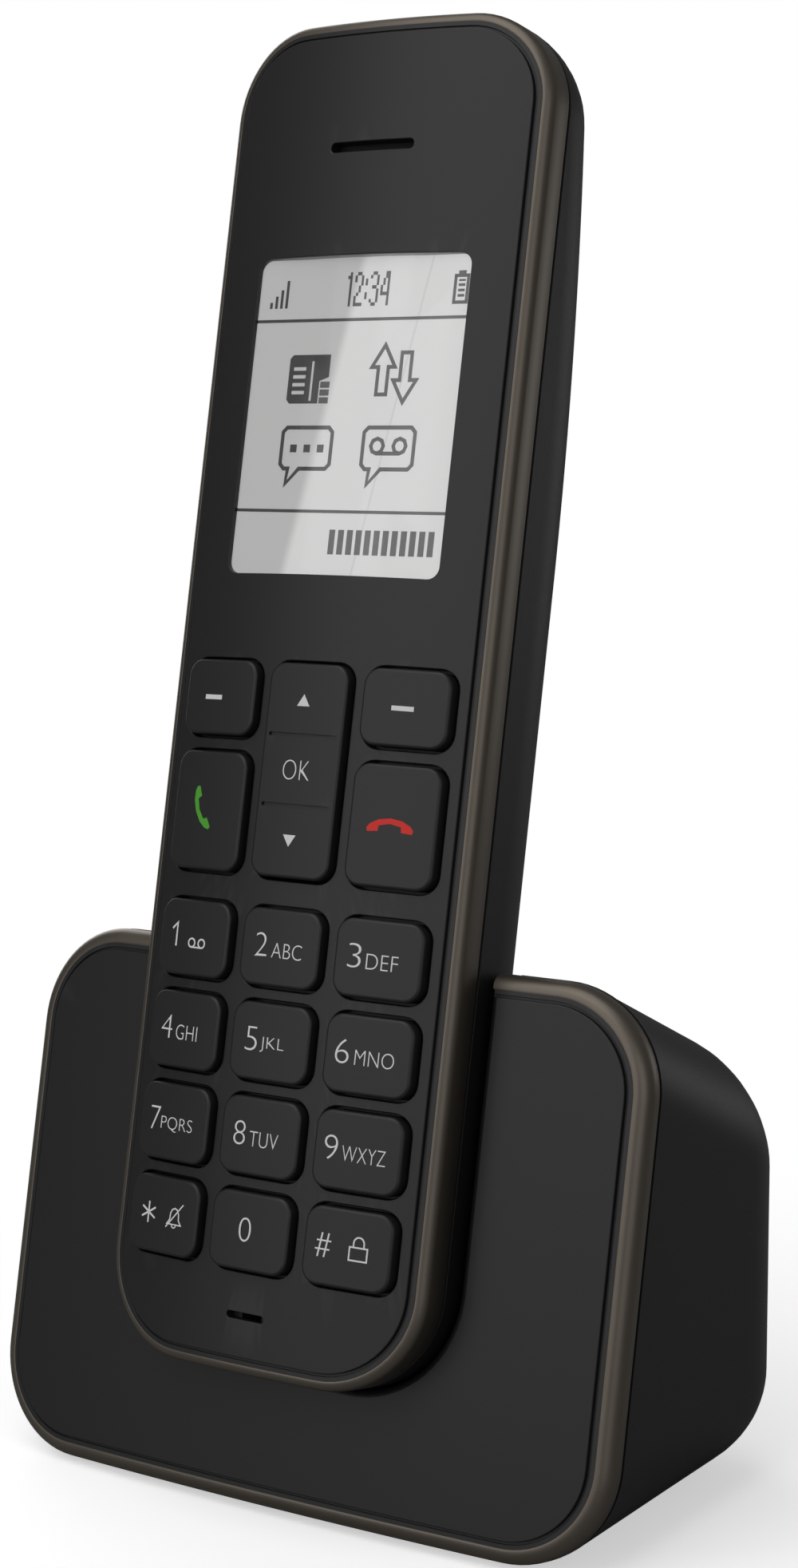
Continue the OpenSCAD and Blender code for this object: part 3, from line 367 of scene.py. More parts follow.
def display_finish(name, colour, reflection_tone, painted_glow):
    """Liquid crystal with painted light: fine grain, a slanting painted reflection that lifts the tone of its
    right part to a paler one with one thin line in it, and a painted glow from emission."""
    material = finish(name, colour, 0.42, grain=5200, bump=0.03, drift=0.02)
    tree = material.node_tree
    link = tree.links.new
    skin = next(n for n in tree.nodes if n.type == "BSDF_PRINCIPLED")
    tone = next(n for n in tree.nodes if n.type == "MIX")
    where = next(n for n in tree.nodes if n.type == "TEX_COORD")
    apart = node_of(tree, "ShaderNodeSeparateXYZ")
    link(where.outputs["Object"], apart.inputs[0])
    middle = sum(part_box("display_panel"), Vector()) / 2

    def slant(start, soft):
        """0 left of a line that leans with height, 1 right of it, with a soft change between."""
        rise = node_of(tree, "ShaderNodeMath", operation="MULTIPLY_ADD")
        rise.inputs[1].default_value = -REFLECTION_SLOPE
        rise.inputs[2].default_value = REFLECTION_SLOPE * middle.z - start
        link(apart.outputs["Z"], rise.inputs[0])
        total = node_of(tree, "ShaderNodeMath", operation="ADD")
        link(apart.outputs["X"], total.inputs[0])
        link(rise.outputs[0], total.inputs[1])
        spread = node_of(tree, "ShaderNodeMapRange", interpolation_type="SMOOTHSTEP")
        spread.inputs["From Min"].default_value = -soft
        spread.inputs["From Max"].default_value = soft
        link(total.outputs[0], spread.inputs["Value"])
        return spread.outputs[0]

    # Painted reflection: right of a slanting line the tone turns to the paler reflection tone
    reflected = node_of(tree, "ShaderNodeMix", data_type="RGBA")
    reflected.inputs[7].default_value = reflection_tone + (1,)
    link(slant(REFLECTION_START, 0.0009), reflected.inputs[0])
    link(tone.outputs[2], reflected.inputs[6])
    # Painted reflection line: a thin slanting band at 0.7 of the reflection tone, mixed in at 0.4
    reflection_band = node_of(tree, "ShaderNodeMath", operation="SUBTRACT")
    link(slant(REFLECTION_LINE_START, 0.00010), reflection_band.inputs[0])
    link(slant(REFLECTION_LINE_START + 0.0003, 0.00010), reflection_band.inputs[1])
    fade = node_of(tree, "ShaderNodeMath", operation="MULTIPLY")
    fade.inputs[1].default_value = 0.4
    link(reflection_band.outputs[0], fade.inputs[0])
    reflection_lined = node_of(tree, "ShaderNodeMix", data_type="RGBA")
    reflection_lined.inputs[7].default_value = tuple(0.7 * c for c in reflection_tone) + (1,)
    link(fade.outputs[0], reflection_lined.inputs[0])
    link(reflected.outputs[2], reflection_lined.inputs[6])
    # Painted glow: half the tone is lit as a matt colour, and the full tone, painted reflection included, glows
    # through emission to stand in for light reaching the recessed display
    matt = node_of(tree, "ShaderNodeVectorMath", operation="SCALE")
    matt.inputs["Scale"].default_value = 0.5
    link(reflection_lined.outputs[2], matt.inputs[0])
    link(matt.outputs[0], skin.inputs["Base Color"])
    link(reflection_lined.outputs[2], skin.inputs["Emission Color"])
    skin.inputs["Emission Strength"].default_value = painted_glow
    return material


# Display tones: plain colour, the paler tone of the painted reflection on the right part, and the strength of the
# painted glow
DISPLAY = display_finish("display_grey", (0.36, 0.36, 0.357), (0.53, 0.53, 0.525), 0.86)
INK = display_finish("display_ink", (0.008, 0.008, 0.008), (0.085, 0.085, 0.085), 0.6)
INK_GREY = display_finish("display_ink_grey", (0.05, 0.05, 0.05), (0.10, 0.10, 0.10), 0.6)


def window_finish():
    """Clear acrylic: lets the display through and adds a fine, slightly uneven gloss."""
    material = bpy.data.materials.new("window_clear")
    material.use_nodes = True
    tree = material.node_tree
    tree.nodes.clear()
    link = tree.links.new
    out = node_of(tree, "ShaderNodeOutputMaterial")
    clear = node_of(tree, "ShaderNodeBsdfTransparent")
    gloss = node_of(tree, "ShaderNodeBsdfGlossy", Roughness=0.06)
    where = node_of(tree, "ShaderNodeTexCoord")
    haze = node_of(tree, "ShaderNodeTexNoise", Scale=60.0)
    relief = node_of(tree, "ShaderNodeBump", Strength=0.02, Distance=0.00002)
    edge = node_of(tree, "ShaderNodeLayerWeight")
    sharper = node_of(tree, "ShaderNodeMath", operation="POWER")
    sharper.inputs[1].default_value = 5.0
    share = node_of(tree, "ShaderNodeMath", operation="MULTIPLY_ADD", use_clamp=True)
    share.inputs[1].default_value, share.inputs[2].default_value = 0.9, 0.03
    mix = node_of(tree, "ShaderNodeMixShader")
    link(where.outputs["Object"], haze.inputs["Vector"])
    link(haze.outputs["Fac"], relief.inputs["Height"])
    link(relief.outputs[0], gloss.inputs["Normal"])
    link(edge.outputs["Facing"], sharper.inputs[0])
    link(sharper.outputs[0], share.inputs[0])
    link(share.outputs[0], mix.inputs[0])
    link(clear.outputs[0], mix.inputs[1])
    link(gloss.outputs[0], mix.inputs[2])
    link(mix.outputs[0], out.inputs[0])
    return material


WINDOW = window_finish()

slot_finish = {"matt_black": PANEL, "shell_black": SHELL, "bronze_trim": BRONZE, "key_black": KEYCAP,
               "lens_clear": WINDOW, "display_grey": DISPLAY, "dark_moulding": INNER, "silicone": SILICONE,
               "foot_rubber": FOOT, "circuit_green": BOARD, "bright_metal": METAL, "gold_contact": GOLD,
               "cell_jacket": JACKET}
for part in frame["record"]["subparts"]:
    mesh = frame["nodes"][part["node"]].data
    mesh.materials.clear()
    mesh.materials.append(slot_finish[part["material_slot"]])
GAUZE = finish("speaker_gauze", (0.008, 0.008, 0.008), 0.8, grain=6000, bump=0.4)
for node in ("earpiece_speaker", "microphone"):
    frame["nodes"][node].data.materials[0] = GAUZE


# ---------------------------------------------------------------- trim rings
def ring_profile(width, depth):
    """Half-round trim section, from its inner foot, over a soft crown and down its outer side.
    Gives the inset from the outline and the depth behind the front, closed round the back."""
    turn = np.linspace(0, math.pi / 2, 12)
    shoulder = min(width * 0.9, 1.7)
    crown_in = width - (width - shoulder) * np.linspace(0, 1, 4)
    inset = np.concatenate([[width], crown_in, shoulder * (1 - np.sin(turn[1:])), [0, 0.12, width]])
    drop = np.concatenate([[depth - 0.05], LIP_DROP + 0.03 * np.linspace(1, 0, 4) ** 2,
                           LIP_DROP + shoulder * 1.05 * (1 - np.cos(turn[1:])), [depth - 0.25, depth - 0.05,
                                                                                 depth - 0.05]])
    return inset, drop


def handset_ring():
    """Trim section carried round the handset's outline, on its curved front."""
    inset, drop = ring_profile(RING_WIDTH, RING_DEPTH)
    x, z = outline(inset, HALF, 0, LENGTH, LOW_CORNER, TOP_CORNER, along=60, arc=17)
    rows = place(x, handset_front(x) + drop[:, None], z, HANDSET_FOOT)
    points = rows[:-1]
    m, n = points.shape[:2]
    closing = np.stack([np.arange(n) + (m - 1) * n, (np.arange(n) + 1) % n + (m - 1) * n,
                        (np.arange(n) + 1) % n, np.arange(n)], -1)
    return make_piece("handset_ring", points, [quads(m, n), closing], "handset", BRONZE,
                      40, ("handset_trim_ring",))


handset_ring()


def base_ring():
    """The same section carried round the base's outline, open at the top where the handset stands."""
    inset, drop = ring_profile(BASE_RING_WIDTH, BASE_RING_DEPTH)
    inset, drop = inset[:-1], drop[:-1]
    x, z = outline(inset, BASE_HALF, FACE_LOW, FACE_HIGH, FACE_CORNER, FACE_CORNER,
                   across=33, along=25, arc=19)
    top = z.max(1, keepdims=True) - 1e-6
    open_at = HALF + CRADLE_GAP
    cut = (z[0] >= top[0]) & (np.abs(x[0]) < open_at)
    start = int(np.flatnonzero(cut)[-1]) + 1
    order = np.roll(np.arange(x.shape[1]), -start)[:x.shape[1] - int(cut.sum())]
    x, z = x[:, order], z[:, order]
    left, right = np.full((len(x), 1), -open_at), np.full((len(x), 1), open_at)
    x = np.concatenate([left, x, right], 1)
    z = np.concatenate([z[:, :1], z, z[:, -1:]], 1)
    rows = place(x, base_front(x) + drop[:, None], z, FACE_FOOT)
    m, n = rows.shape[:2]
    caps = [np.arange(m)[None, ::-1] * n, np.arange(m)[None, :] * n + n - 1]
    grid = quads(m + 1, n, around=False) % (m * n)
    mesh = bpy.data.meshes.new("base_ring")
    faces = grid.tolist() + [caps[0][0].tolist(), caps[1][0].tolist()]
    mesh.from_pydata(rows.reshape(-1, 3).tolist(), [], faces)
    turned_out(mesh)
    return finish_piece("base_ring", mesh, "base", BRONZE, 40, ("base_trim_ring",))


base_ring()


# ---------------------------------------------------------------- front panels
def panel_rows(half, low, high, low_round, high_round, margin, lip, ring, ring_depth, front, foot, detail):
    """Panel skin from the middle of its face out over a softened edge, down the groove, over the lip,
    down the skirt, and back along the inside to the middle of its rear face."""
    soft = 0.14
    edge = [(margin + soft, 0), (margin + soft * 0.3, soft * 0.3), (margin, soft), (margin, GROOVE),
            (lip, GROOVE), (lip, LIP_DROP + 0.05), (lip - 0.05, LIP_DROP), (ring + 0.004, LIP_DROP),
            (ring + 0.004, ring_depth), (ring + PANEL_WALL, ring_depth), (ring + PANEL_WALL, PANEL_WALL)]
    inset, drop = np.array(edge).T
    x, z = outline(inset, half, low, high, low_round, high_round, **detail)
    middle = (low + high) / 2
    shrink = np.linspace(0.03, 1, 16, endpoint=False)[:, None]
    face_x, face_z = x[:1] * shrink, middle + (z[:1] - middle) * shrink
    back_x, back_z = x[-1:] * shrink[::-1], middle + (z[-1:] - middle) * shrink[::-1]
    all_x = np.concatenate([face_x, x, back_x])
    all_z = np.concatenate([face_z, z, back_z])
    depth = np.concatenate([np.zeros(len(shrink)), drop, np.full(len(shrink), PANEL_WALL)])[:, None]
    rows = place(all_x, front(all_x) + depth, all_z, foot)
    ends = [place(np.array(0.0), np.array(d), np.array(middle), foot) for d in (0.0, PANEL_WALL)]
    return lofted(rows, *ends)


def handset_panel():
    """Curved handset panel, pierced for the keys, the window and the two sound slots."""
    detail = dict(across=23, along=61, arc=15)
    body = solid_mesh("panel", *panel_rows(HALF, 0, LENGTH, LOW_CORNER, TOP_CORNER, MARGIN, LIP_START,
                                           RING_WIDTH, RING_DEPTH, handset_front, HANDSET_FOOT, detail))

    def hole(x, z, half_x, half_z, corner, flare=0.18):
        """Cutter for one opening through the handset's panel, slightly flared at the front."""
        return prism(x, z, half_x, half_z, corner, -2, 3, HANDSET_FOOT, handset_front, flare)

    cuts = [hole(c * COLUMN, FIRST_ROW + r * ROW, KEY_WIDTH / 2, KEY_HEIGHT / 2, KEY_CORNER)
            for c in (-1, 0, 1) for r in range(4)]
    for side in (-1, 1):
        for centre, high in ((FUNCTION_LOW + CALL_HEIGHT / 2, CALL_HEIGHT),
                             (FUNCTION_HIGH - SOFT_HEIGHT / 2, SOFT_HEIGHT)):
            cuts.append(hole(side * COLUMN, centre, KEY_WIDTH / 2, high / 2, KEY_CORNER))
    cuts.append(hole(0, MENU_CENTRE, KEY_WIDTH / 2, (FUNCTION_HIGH - FUNCTION_LOW) / 2, KEY_CORNER))
    cuts.append(hole(0, WINDOW_CENTRE, WINDOW_HALF_X, WINDOW_HALF_Z, WINDOW_CORNER, 0.1))
    cuts.append(hole(0, EARPIECE_CENTRE, EARPIECE_HALF_X, EARPIECE_HALF_Z, EARPIECE_CORNER, 0.15))
    cuts.append(hole(0, 7.3, 2.8, 0.425, 0.4, 0.12))
    mesh = carved("handset_panel", body, cuts)
    piece = finish_piece("handset_panel", mesh, "handset", PANEL, 32, ("handset_front_cover",))
    return true_face(piece, curved_front(FRONT_RADIUS))


handset_panel()


def dock_rows(grow, floor, flare, near):
    """Space that the handset stands in, open upwards: its section carried into the depth, with rounded
    rear edges, and with a soft flare at the face of the base."""
    rear = THICK + grow - STAND_OFF
    roll = BACK_ROUND + grow
    turn = np.linspace(math.pi / 2, 0, 8)
    bend = np.linspace(0, math.pi / 2, 12)
    if flare:
        out = np.concatenate([[flare], flare * (1 - np.cos(turn * 0.93))])
        drop = np.concatenate([[near], flare * (1 - np.sin(turn * 0.93))])
    else:
        out, drop = np.array([0.0]), np.array([near])
    inset = np.concatenate([-out, roll * (1 - np.cos(bend))])
    straight = np.concatenate([drop, rear - roll + roll * np.sin(bend)])
    follow = np.concatenate([np.ones(len(drop)), np.zeros(len(bend))])
    x, z = outline(inset - grow, HALF, -floor + grow, LENGTH, LOW_CORNER, LOW_CORNER,
                   across=25, along=41, arc=17)
    z = z + DOCK_HEIGHT
    depth = straight[:, None] + follow[:, None] * base_front(x)
    rows = place(x, depth, z, FACE_FOOT)
    middle = np.array(DOCK_HEIGHT + LENGTH / 2)
    ends = [place(np.array(0.0), np.array(d), middle, FACE_FOOT) for d in (near, rear)]
    return lofted(rows, *ends)


# ---------------------------------------------------------------- base body
def body_rows(wall):
    """Base form: the leaning outline of the face, run straight back to an upright outline at the rear
    while its top falls, then rolled over all round into the rear wall. The wall makes it smaller."""
    front_x, front_z = outline(wall, BASE_HALF, FACE_LOW, FACE_HIGH, FACE_CORNER, FACE_CORNER,
                               across=41, along=21, arc=19)
    start = place(front_x, base_front(front_x) + BASE_RING_DEPTH, front_z, FACE_FOOT)[0] / MM
    seam_top = place(np.array(0.0), np.array(BASE_RING_DEPTH), np.array(FACE_HIGH), FACE_FOOT) / MM
    rear = REAR - wall
    high = seam_top[2] - (REAR - seam_top[1]) * math.tan(TOP_SLOPE) - wall
    start[:, 2] = np.maximum(start[:, 2], UNDER + wall)
    roll = 16.0 - wall
    bend = np.linspace(0, math.pi / 2, 15)
    inset = roll * (1 - np.cos(bend))
    low_inset = inset * 8.0 / 16.0
    corner = (FACE_CORNER - wall) * (1 - inset / roll) ** 0.9 + 0.02
    end_x, end_z = outline(0, (BASE_HALF - wall - inset)[:, None], UNDER + wall + low_inset[:, None],
                           high - inset[:, None], corner[:, None], corner[:, None],
                           across=41, along=21, arc=19)
    run = np.linspace(0, 1, 14, endpoint=False)[:, None]
    stop_y = rear - roll
    rolled_y = stop_y + roll * np.sin(bend)[:, None] + 0 * end_x
    shift = math.tan(TOP_SLOPE) * (rear - rolled_y)
    top_share = np.clip((end_z - UNDER - wall) / (high - UNDER - wall), 0, 1)
    end_z = end_z + shift * top_share
    ruled_x = start[None, :, 0] * (1 - run) + end_x[:1] * run
    ruled_y = start[None, :, 1] * (1 - run) + stop_y * run
    ruled_z = start[None, :, 2] * (1 - run) + end_z[:1] * run
    shrink = np.linspace(0.8, 0.1, 5)[:, None]
    last_x, last_z = end_x[-1:], end_z[-1:]
    centre = last_z.mean()
    x = np.concatenate([ruled_x, end_x, last_x * shrink])
    y = np.concatenate([ruled_y, rolled_y, np.full((5, last_x.shape[1]), rear)])
    z = np.concatenate([ruled_z, end_z, centre + (last_z - centre) * shrink])
    return np.stack([x, y, z], -1) * MM, np.array([0.0, rear, centre]) * MM


def body_solid(extra_front):
    """Closed base form, carried a little forward through its open front."""
    rows, pole = body_rows(0.0)
    ahead = rows[:1] - np.array([0.0, extra_front, 0.0]) * MM
    rows = np.concatenate([ahead, rows])
    return solid_mesh("form", *lofted(rows, rows[0].mean(0), pole))


def base_shell():
    """Hollow base body: outer form, shadow gap at the ring, and an inner form one wall smaller."""
    outer, rear = body_rows(0.0)
    inner, inner_rear = body_rows(BODY_WALL)
    gap = np.array([0.0, SEAM, 0.0]) * MM
    neck_x, neck_z = outline(SEAM_IN, BASE_HALF, FACE_LOW, FACE_HIGH, FACE_CORNER, FACE_CORNER,
                             across=41, along=21, arc=19)
    neck = place(neck_x, base_front(neck_x) + BASE_RING_DEPTH + 0.02, neck_z, FACE_FOOT)
    rows = np.concatenate([inner[::-1], inner[:1] - np.array([0, 1e-5, 0]), neck, neck + gap,
                           outer[:1] + gap, outer[1:]])
    form = solid_mesh("shell", *lofted(rows, inner_rear, rear))
    plate_low, plate_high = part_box("base_bottom_plate")
    centre_y = (plate_low.y + plate_high.y) / 2
    length = (plate_high.y - plate_low.y) / MM

    def flat_cut(half_x, half_y, corner, low, high):
        """Rounded bar that stands upright through the underside."""
        x, y = outline(0, half_x, -half_y, half_y, corner, corner, across=5, along=5, arc=9)
        level = np.array([low, high])[:, None] + 0 * x
        rows = np.stack([x + 0 * level, y + centre_y / MM + 0 * level, level], -1) * MM
        return solid_mesh("cut", *lofted(rows, rows[0].mean(0), rows[1].mean(0)))

    cuts = [flat_cut(30.15, length / 2 + 0.15, 5, UNDER - 2, UNDER + 1.2),
            flat_cut(27, length / 2 - 3, 5, UNDER - 2, UNDER + 6)]
    upright = (REAR - 8, REAR + 4)

    def rear_cut(x, z, half_x, half_z, corner):
        """Rounded bar that runs level through the rear wall."""
        px, pz = outline(0, half_x, -half_z, half_z, corner, corner, across=5, along=5, arc=9)
        level = np.array(upright)[:, None] + 0 * px
        rows = np.stack([px + x + 0 * level, level, pz + z + 0 * level], -1) * MM
        return solid_mesh("cut", *lofted(rows, rows[0].mean(0), rows[1].mean(0)))

    for node, width in (("line_socket", 9.8), ("power_socket", 7.8)):
        low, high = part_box(node)
        mid = (low + high) / 2 / MM
        cuts.append(rear_cut(mid.x, mid.z, width / 2, 3.4, 0.25))
    button = sum(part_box("page_button"), Vector()) / 2 / MM
    cuts.append(rear_cut(0, button.z, 3.85, 3.85, 3.84))
    cuts.append(solid_mesh("cut", *dock_rows(CRADLE_GAP + CRADLE_WALL, CRADLE_FLOOR + CRADLE_WALL, 0, -20)))
    mesh = carved("base_shell", form, cuts)
    return finish_piece("base_shell", mesh, "base", SHELL, 32, ("base_body",))


base_shell()


def base_panel():
    """Front panel of the base with the cradle: the panel skin and the cradle's wall joined, then cut by
    the handset's space with a soft flare where it meets the face."""
    detail = dict(across=41, along=31, arc=19)
    body = solid_mesh("panel", *panel_rows(BASE_HALF, FACE_LOW, FACE_HIGH, FACE_CORNER, FACE_CORNER,
                                           BASE_MARGIN, BASE_LIP, BASE_RING_WIDTH, BASE_RING_DEPTH,
                                           base_front, FACE_FOOT, detail))
    wall = solid_mesh("wall", *dock_rows(CRADLE_GAP + CRADLE_WALL, CRADLE_FLOOR + CRADLE_WALL, 0, 1.0))
    wall = carved("wall", wall, (), kept=(body_solid(4.0),))
    space = solid_mesh("space", *dock_rows(CRADLE_GAP, CRADLE_FLOOR, 1.0, -20))
    pins = []
    for side in (-1, 1):
        low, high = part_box("charge_pin_left" if side < 0 else "charge_pin_right")
        middle = (low + high) / 2 / MM
        turn = np.linspace(0, 2 * math.pi, 40, endpoint=False)
        ring = (middle.x + 1.18 * np.cos(turn))[:, None] * ACROSS + (1.18 * np.sin(turn))[:, None] * INTO
        centre = np.array([0.0, middle.y, middle.z])
        rows = np.stack([ring + centre - 12 * UP, ring + centre + 12 * UP]) * MM
        pins.append(solid_mesh("cut", *lofted(rows, rows[0].mean(0), rows[1].mean(0))))
    mesh = carved("base_panel", body, [space] + pins, added=(wall,))
    piece = finish_piece("base_panel", mesh, "base", PANEL, 32, ("base_front_panel",))
    return true_face(piece, curved_front(BASE_RADIUS))


base_panel()


# ---------------------------------------------------------------- handset back shell
def taper(height):
    """How far the back thins at a height: nothing below 103 mm, then a circle of 394 mm."""
    rise = np.clip(height - TAPER_START, 0, None)
    return TAPER_RADIUS - np.sqrt(TAPER_RADIUS ** 2 - rise ** 2)


def back_rows(wall, start_depth):
    """Back form: the outline carried back to where its edge turns, a quarter-round edge of 12 mm, and a
    flat back that thins towards the earpiece end. The wall makes it smaller all round."""
    roll = BACK_ROUND - wall
    bend = np.linspace(0, math.pi / 2, 15)
    inset = np.concatenate([np.zeros(5), roll * (1 - np.cos(bend))])
    x, z = outline(inset + wall, HALF, 0, LENGTH, LOW_CORNER, TOP_CORNER, across=17, along=71, arc=15)
    back = THICK - wall - taper(z)
    near = handset_front(x) + start_depth
    share = np.linspace(0, 1, 5, endpoint=False)[:, None]
    straight = near[:5] + (back[:5] - roll - near[:5]) * share
    rolled = back[5:] - roll * (1 - np.sin(bend))[:, None]
    depth = np.concatenate([straight, rolled])
    middle = LENGTH / 2
    shrink = np.linspace(0.85, 0.06, 9)[:, None]
    flat_x, flat_z = x[-1:] * shrink, z[-1:]
    flat_z = np.where(shrink > 0, middle + (flat_z - middle) * (0.35 + 0.65 * shrink), flat_z)
    flat_depth = THICK - wall - taper(flat_z)
    x, z = np.concatenate([x, flat_x]), np.concatenate([z, flat_z])
    depth = np.concatenate([depth, flat_depth])
    return place(x, depth, z, HANDSET_FOOT), place(np.array(0.0), np.array(THICK - wall), np.array(middle),
                                                   HANDSET_FOOT)


def back_shell():
    """Hollow back shell with its shadow gap, cut for the battery door, screws, ringer and contacts."""
    outer, pole = back_rows(0.0, RING_DEPTH + SEAM)
    inner, inner_pole = back_rows(1.8, RING_DEPTH + 0.02)
    x, z = outline(SEAM_IN, HALF, 0, LENGTH, LOW_CORNER, TOP_CORNER, across=17, along=71, arc=15)
    neck = place(x, handset_front(x) + RING_DEPTH + 0.02, z, HANDSET_FOOT)
    low_neck = place(x, handset_front(x) + RING_DEPTH + SEAM, z, HANDSET_FOOT)
    rows = np.concatenate([inner[::-1], neck, low_neck, outer])
    form = solid_mesh("shell", *lofted(rows, inner_pole, pole))
    cuts = [prism(0, 83.55, 13.6, 27.05, 2.3, 20, 30, HANDSET_FOOT)]
    cuts += [prism(0, 134 + step * 2.6, 4, 0.5, 0.45, 16, 30, HANDSET_FOOT) for step in (-1, 0, 1)]
    cuts += [drum(side * 14, 8, 2.6, 20, 40, HANDSET_FOOT) for side in (-1, 1)]
    turn = np.linspace(0, 2 * math.pi, 36, endpoint=False)
    for side in (-1, 1):
        ring_x, ring_y = side * 9 + 2 * np.cos(turn), 12.8 + 2 * np.sin(turn)
        level = np.array([-2.0, 3.8])[:, None]
        rows = place(ring_x[None, :], ring_y[None, :], level, HANDSET_FOOT)
        cuts.append(solid_mesh("cut", *lofted(rows, rows[0].mean(0), rows[1].mean(0))))
    mesh = carved("back_shell", form, cuts)
    piece = finish_piece("back_shell", mesh, "handset", SHELL, 32, ("handset_back_shell",))
    return true_face(piece, thinning_back)


back_shell()


def battery_bay():
    """Open box with a flange: floor, walls and the seat of the door, one section carried round a
    rounded rectangle."""
    section = [(0.0, 11.1), (0.0, 22.3), (3.4, 22.3), (3.4, 21.2), (1.2, 21.2), (1.2, 10.25)]
    grow, depth = np.array(section).T
    x, z = outline(-grow, 11.1, 59, 108.1, 0.5, 0.5, across=9, along=17, arc=5)
    rows = place(x, depth[:, None] + 0 * x, z, HANDSET_FOOT)
    ends = [place(np.array(0.0), np.array(d), np.array(83.55), HANDSET_FOOT) for d in (11.1, 10.25)]
    mesh = solid_mesh("battery_bay", *lofted(rows, *ends))
    return finish_piece("battery_bay", mesh, "handset", SHELL, 32, ())


battery_bay()


# ---------------------------------------------------------------- keys
def key_top(x):
    """Depth of a key's top face at x, just in front of the handset's panel."""
    return handset_front(x) - KEY_RISE


def key_piece(node, x0, z0, width, height, grooves=()):
    """Key cap: a rounded block through its opening, with a quarter-round top edge, a top that follows
    the handset's curve, and a flange behind the panel. Grooves are cut across the top as short
    rounded troughs."""
    soft = 0.42
    turn = np.linspace(0, math.pi / 2, 8)
    cap_out = -KEY_GAP
    flange = cap_out if grooves else 0.4
    edge = np.concatenate([[flange, flange, cap_out], cap_out - soft * (1 - np.cos(turn))])
    depth = np.concatenate([[KEY_FLOOR, 1.9, 1.9], soft * (1 - np.sin(turn))])
    tied = np.concatenate([[0, 1, 1], np.ones(len(turn))])
    lifted = np.concatenate([[0, 0, 0], np.full(len(turn), -KEY_RISE)])
    x, z = outline(-edge, width / 2, -height / 2, height / 2, KEY_CORNER, KEY_CORNER,
                   across=13, along=13, arc=9)
    top = np.linspace(1, 0.04, 9)[1:, None]
    x, z = np.concatenate([x, x[-1:] * top]), np.concatenate([z, z[-1:] * top])
    depth = np.concatenate([depth, np.zeros(len(top))])[:, None]
    tied = np.concatenate([tied, np.ones(len(top))])[:, None]
    lifted = np.concatenate([lifted, np.full(len(top), -KEY_RISE)])[:, None]
    across = x + x0
    rows = place(across, depth + lifted + tied * handset_front(across), z + z0, HANDSET_FOOT)
    ends = [place(np.array(float(x0)), np.array(KEY_FLOOR), np.array(z0), HANDSET_FOOT),
            place(np.array(float(x0)), key_top(x0), np.array(z0), HANDSET_FOOT)]
    mesh = solid_mesh(node + "_cap", *lofted(rows, *ends))
    if grooves:
        mesh = carved(node + "_cap", mesh, [
            prism(x0, z0 + at, width / 2 - 1.2, 0.25, 0.24, -4, 0.3 - KEY_RISE, HANDSET_FOOT, handset_front)
            for at in grooves])
    piece = finish_piece(node + "_cap", mesh, node, KEYCAP, 35, (node,))
    return true_face(piece, curved_front(FRONT_RADIUS))


number_keys = [("key_star", -1, 0), ("key_0", 0, 0), ("key_hash", 1, 0)]
number_keys += [("key_%d" % (9 - 3 * r + c - 1), c, r + 1) for r in range(3) for c in (-1, 0, 1)]
for node, column, row in number_keys:
    key_piece(node, column * COLUMN, FIRST_ROW + row * ROW, KEY_WIDTH, KEY_HEIGHT)
for side, call, soft_key in ((-1, "key_call", "key_soft_left"), (1, "key_end", "key_soft_right")):
    key_piece(call, side * COLUMN, FUNCTION_LOW + CALL_HEIGHT / 2, KEY_WIDTH, CALL_HEIGHT)
    key_piece(soft_key, side * COLUMN, FUNCTION_HIGH - SOFT_HEIGHT / 2, KEY_WIDTH, SOFT_HEIGHT)
key_piece("key_menu", 0.0, MENU_CENTRE, KEY_WIDTH, FUNCTION_HIGH - FUNCTION_LOW, (-4.44, 4.44))


# ---------------------------------------------------------------- legends
PRINT = 0.022


def printed(name, body, flat, material, surface):
    """Turns flat artwork, given as a mesh in x and y in millimetres, into a thin print on a curved
    surface: a lower and an upper skin joined round the border."""
    work = bmesh.new()
    work.from_mesh(flat)
    bmesh.ops.remove_doubles(work, verts=work.verts, dist=1e-4)
    bmesh.ops.triangulate(work, faces=work.faces)
    long_edges = [e for e in work.edges if e.calc_length() > 1.2]
    if long_edges:
        bmesh.ops.subdivide_edges(work, edges=long_edges, cuts=3)
        bmesh.ops.triangulate(work, faces=work.faces)
    got = bmesh.ops.extrude_face_region(work, geom=work.faces[:])
    upper = [g for g in got["geom"] if isinstance(g, bmesh.types.BMVert)]
    for vert in upper:
        vert.co.z = 1.0
    mesh = bpy.data.meshes.new(name)
    bmesh.ops.recalc_face_normals(work, faces=work.faces)
    work.to_mesh(mesh)
    work.free()
    co = np.empty(len(mesh.vertices) * 3)
    mesh.vertices.foreach_get("co", co)
    co = co.reshape(-1, 3)
    depth = surface(co[:, 0]) + 0.01 - (PRINT + 0.01) * co[:, 2]
    mesh.vertices.foreach_set("co", place(co[:, 0], depth, co[:, 1], HANDSET_FOOT).ravel())
    turned_out(mesh)
    return finish_piece(name, mesh, body, material, 32, ())


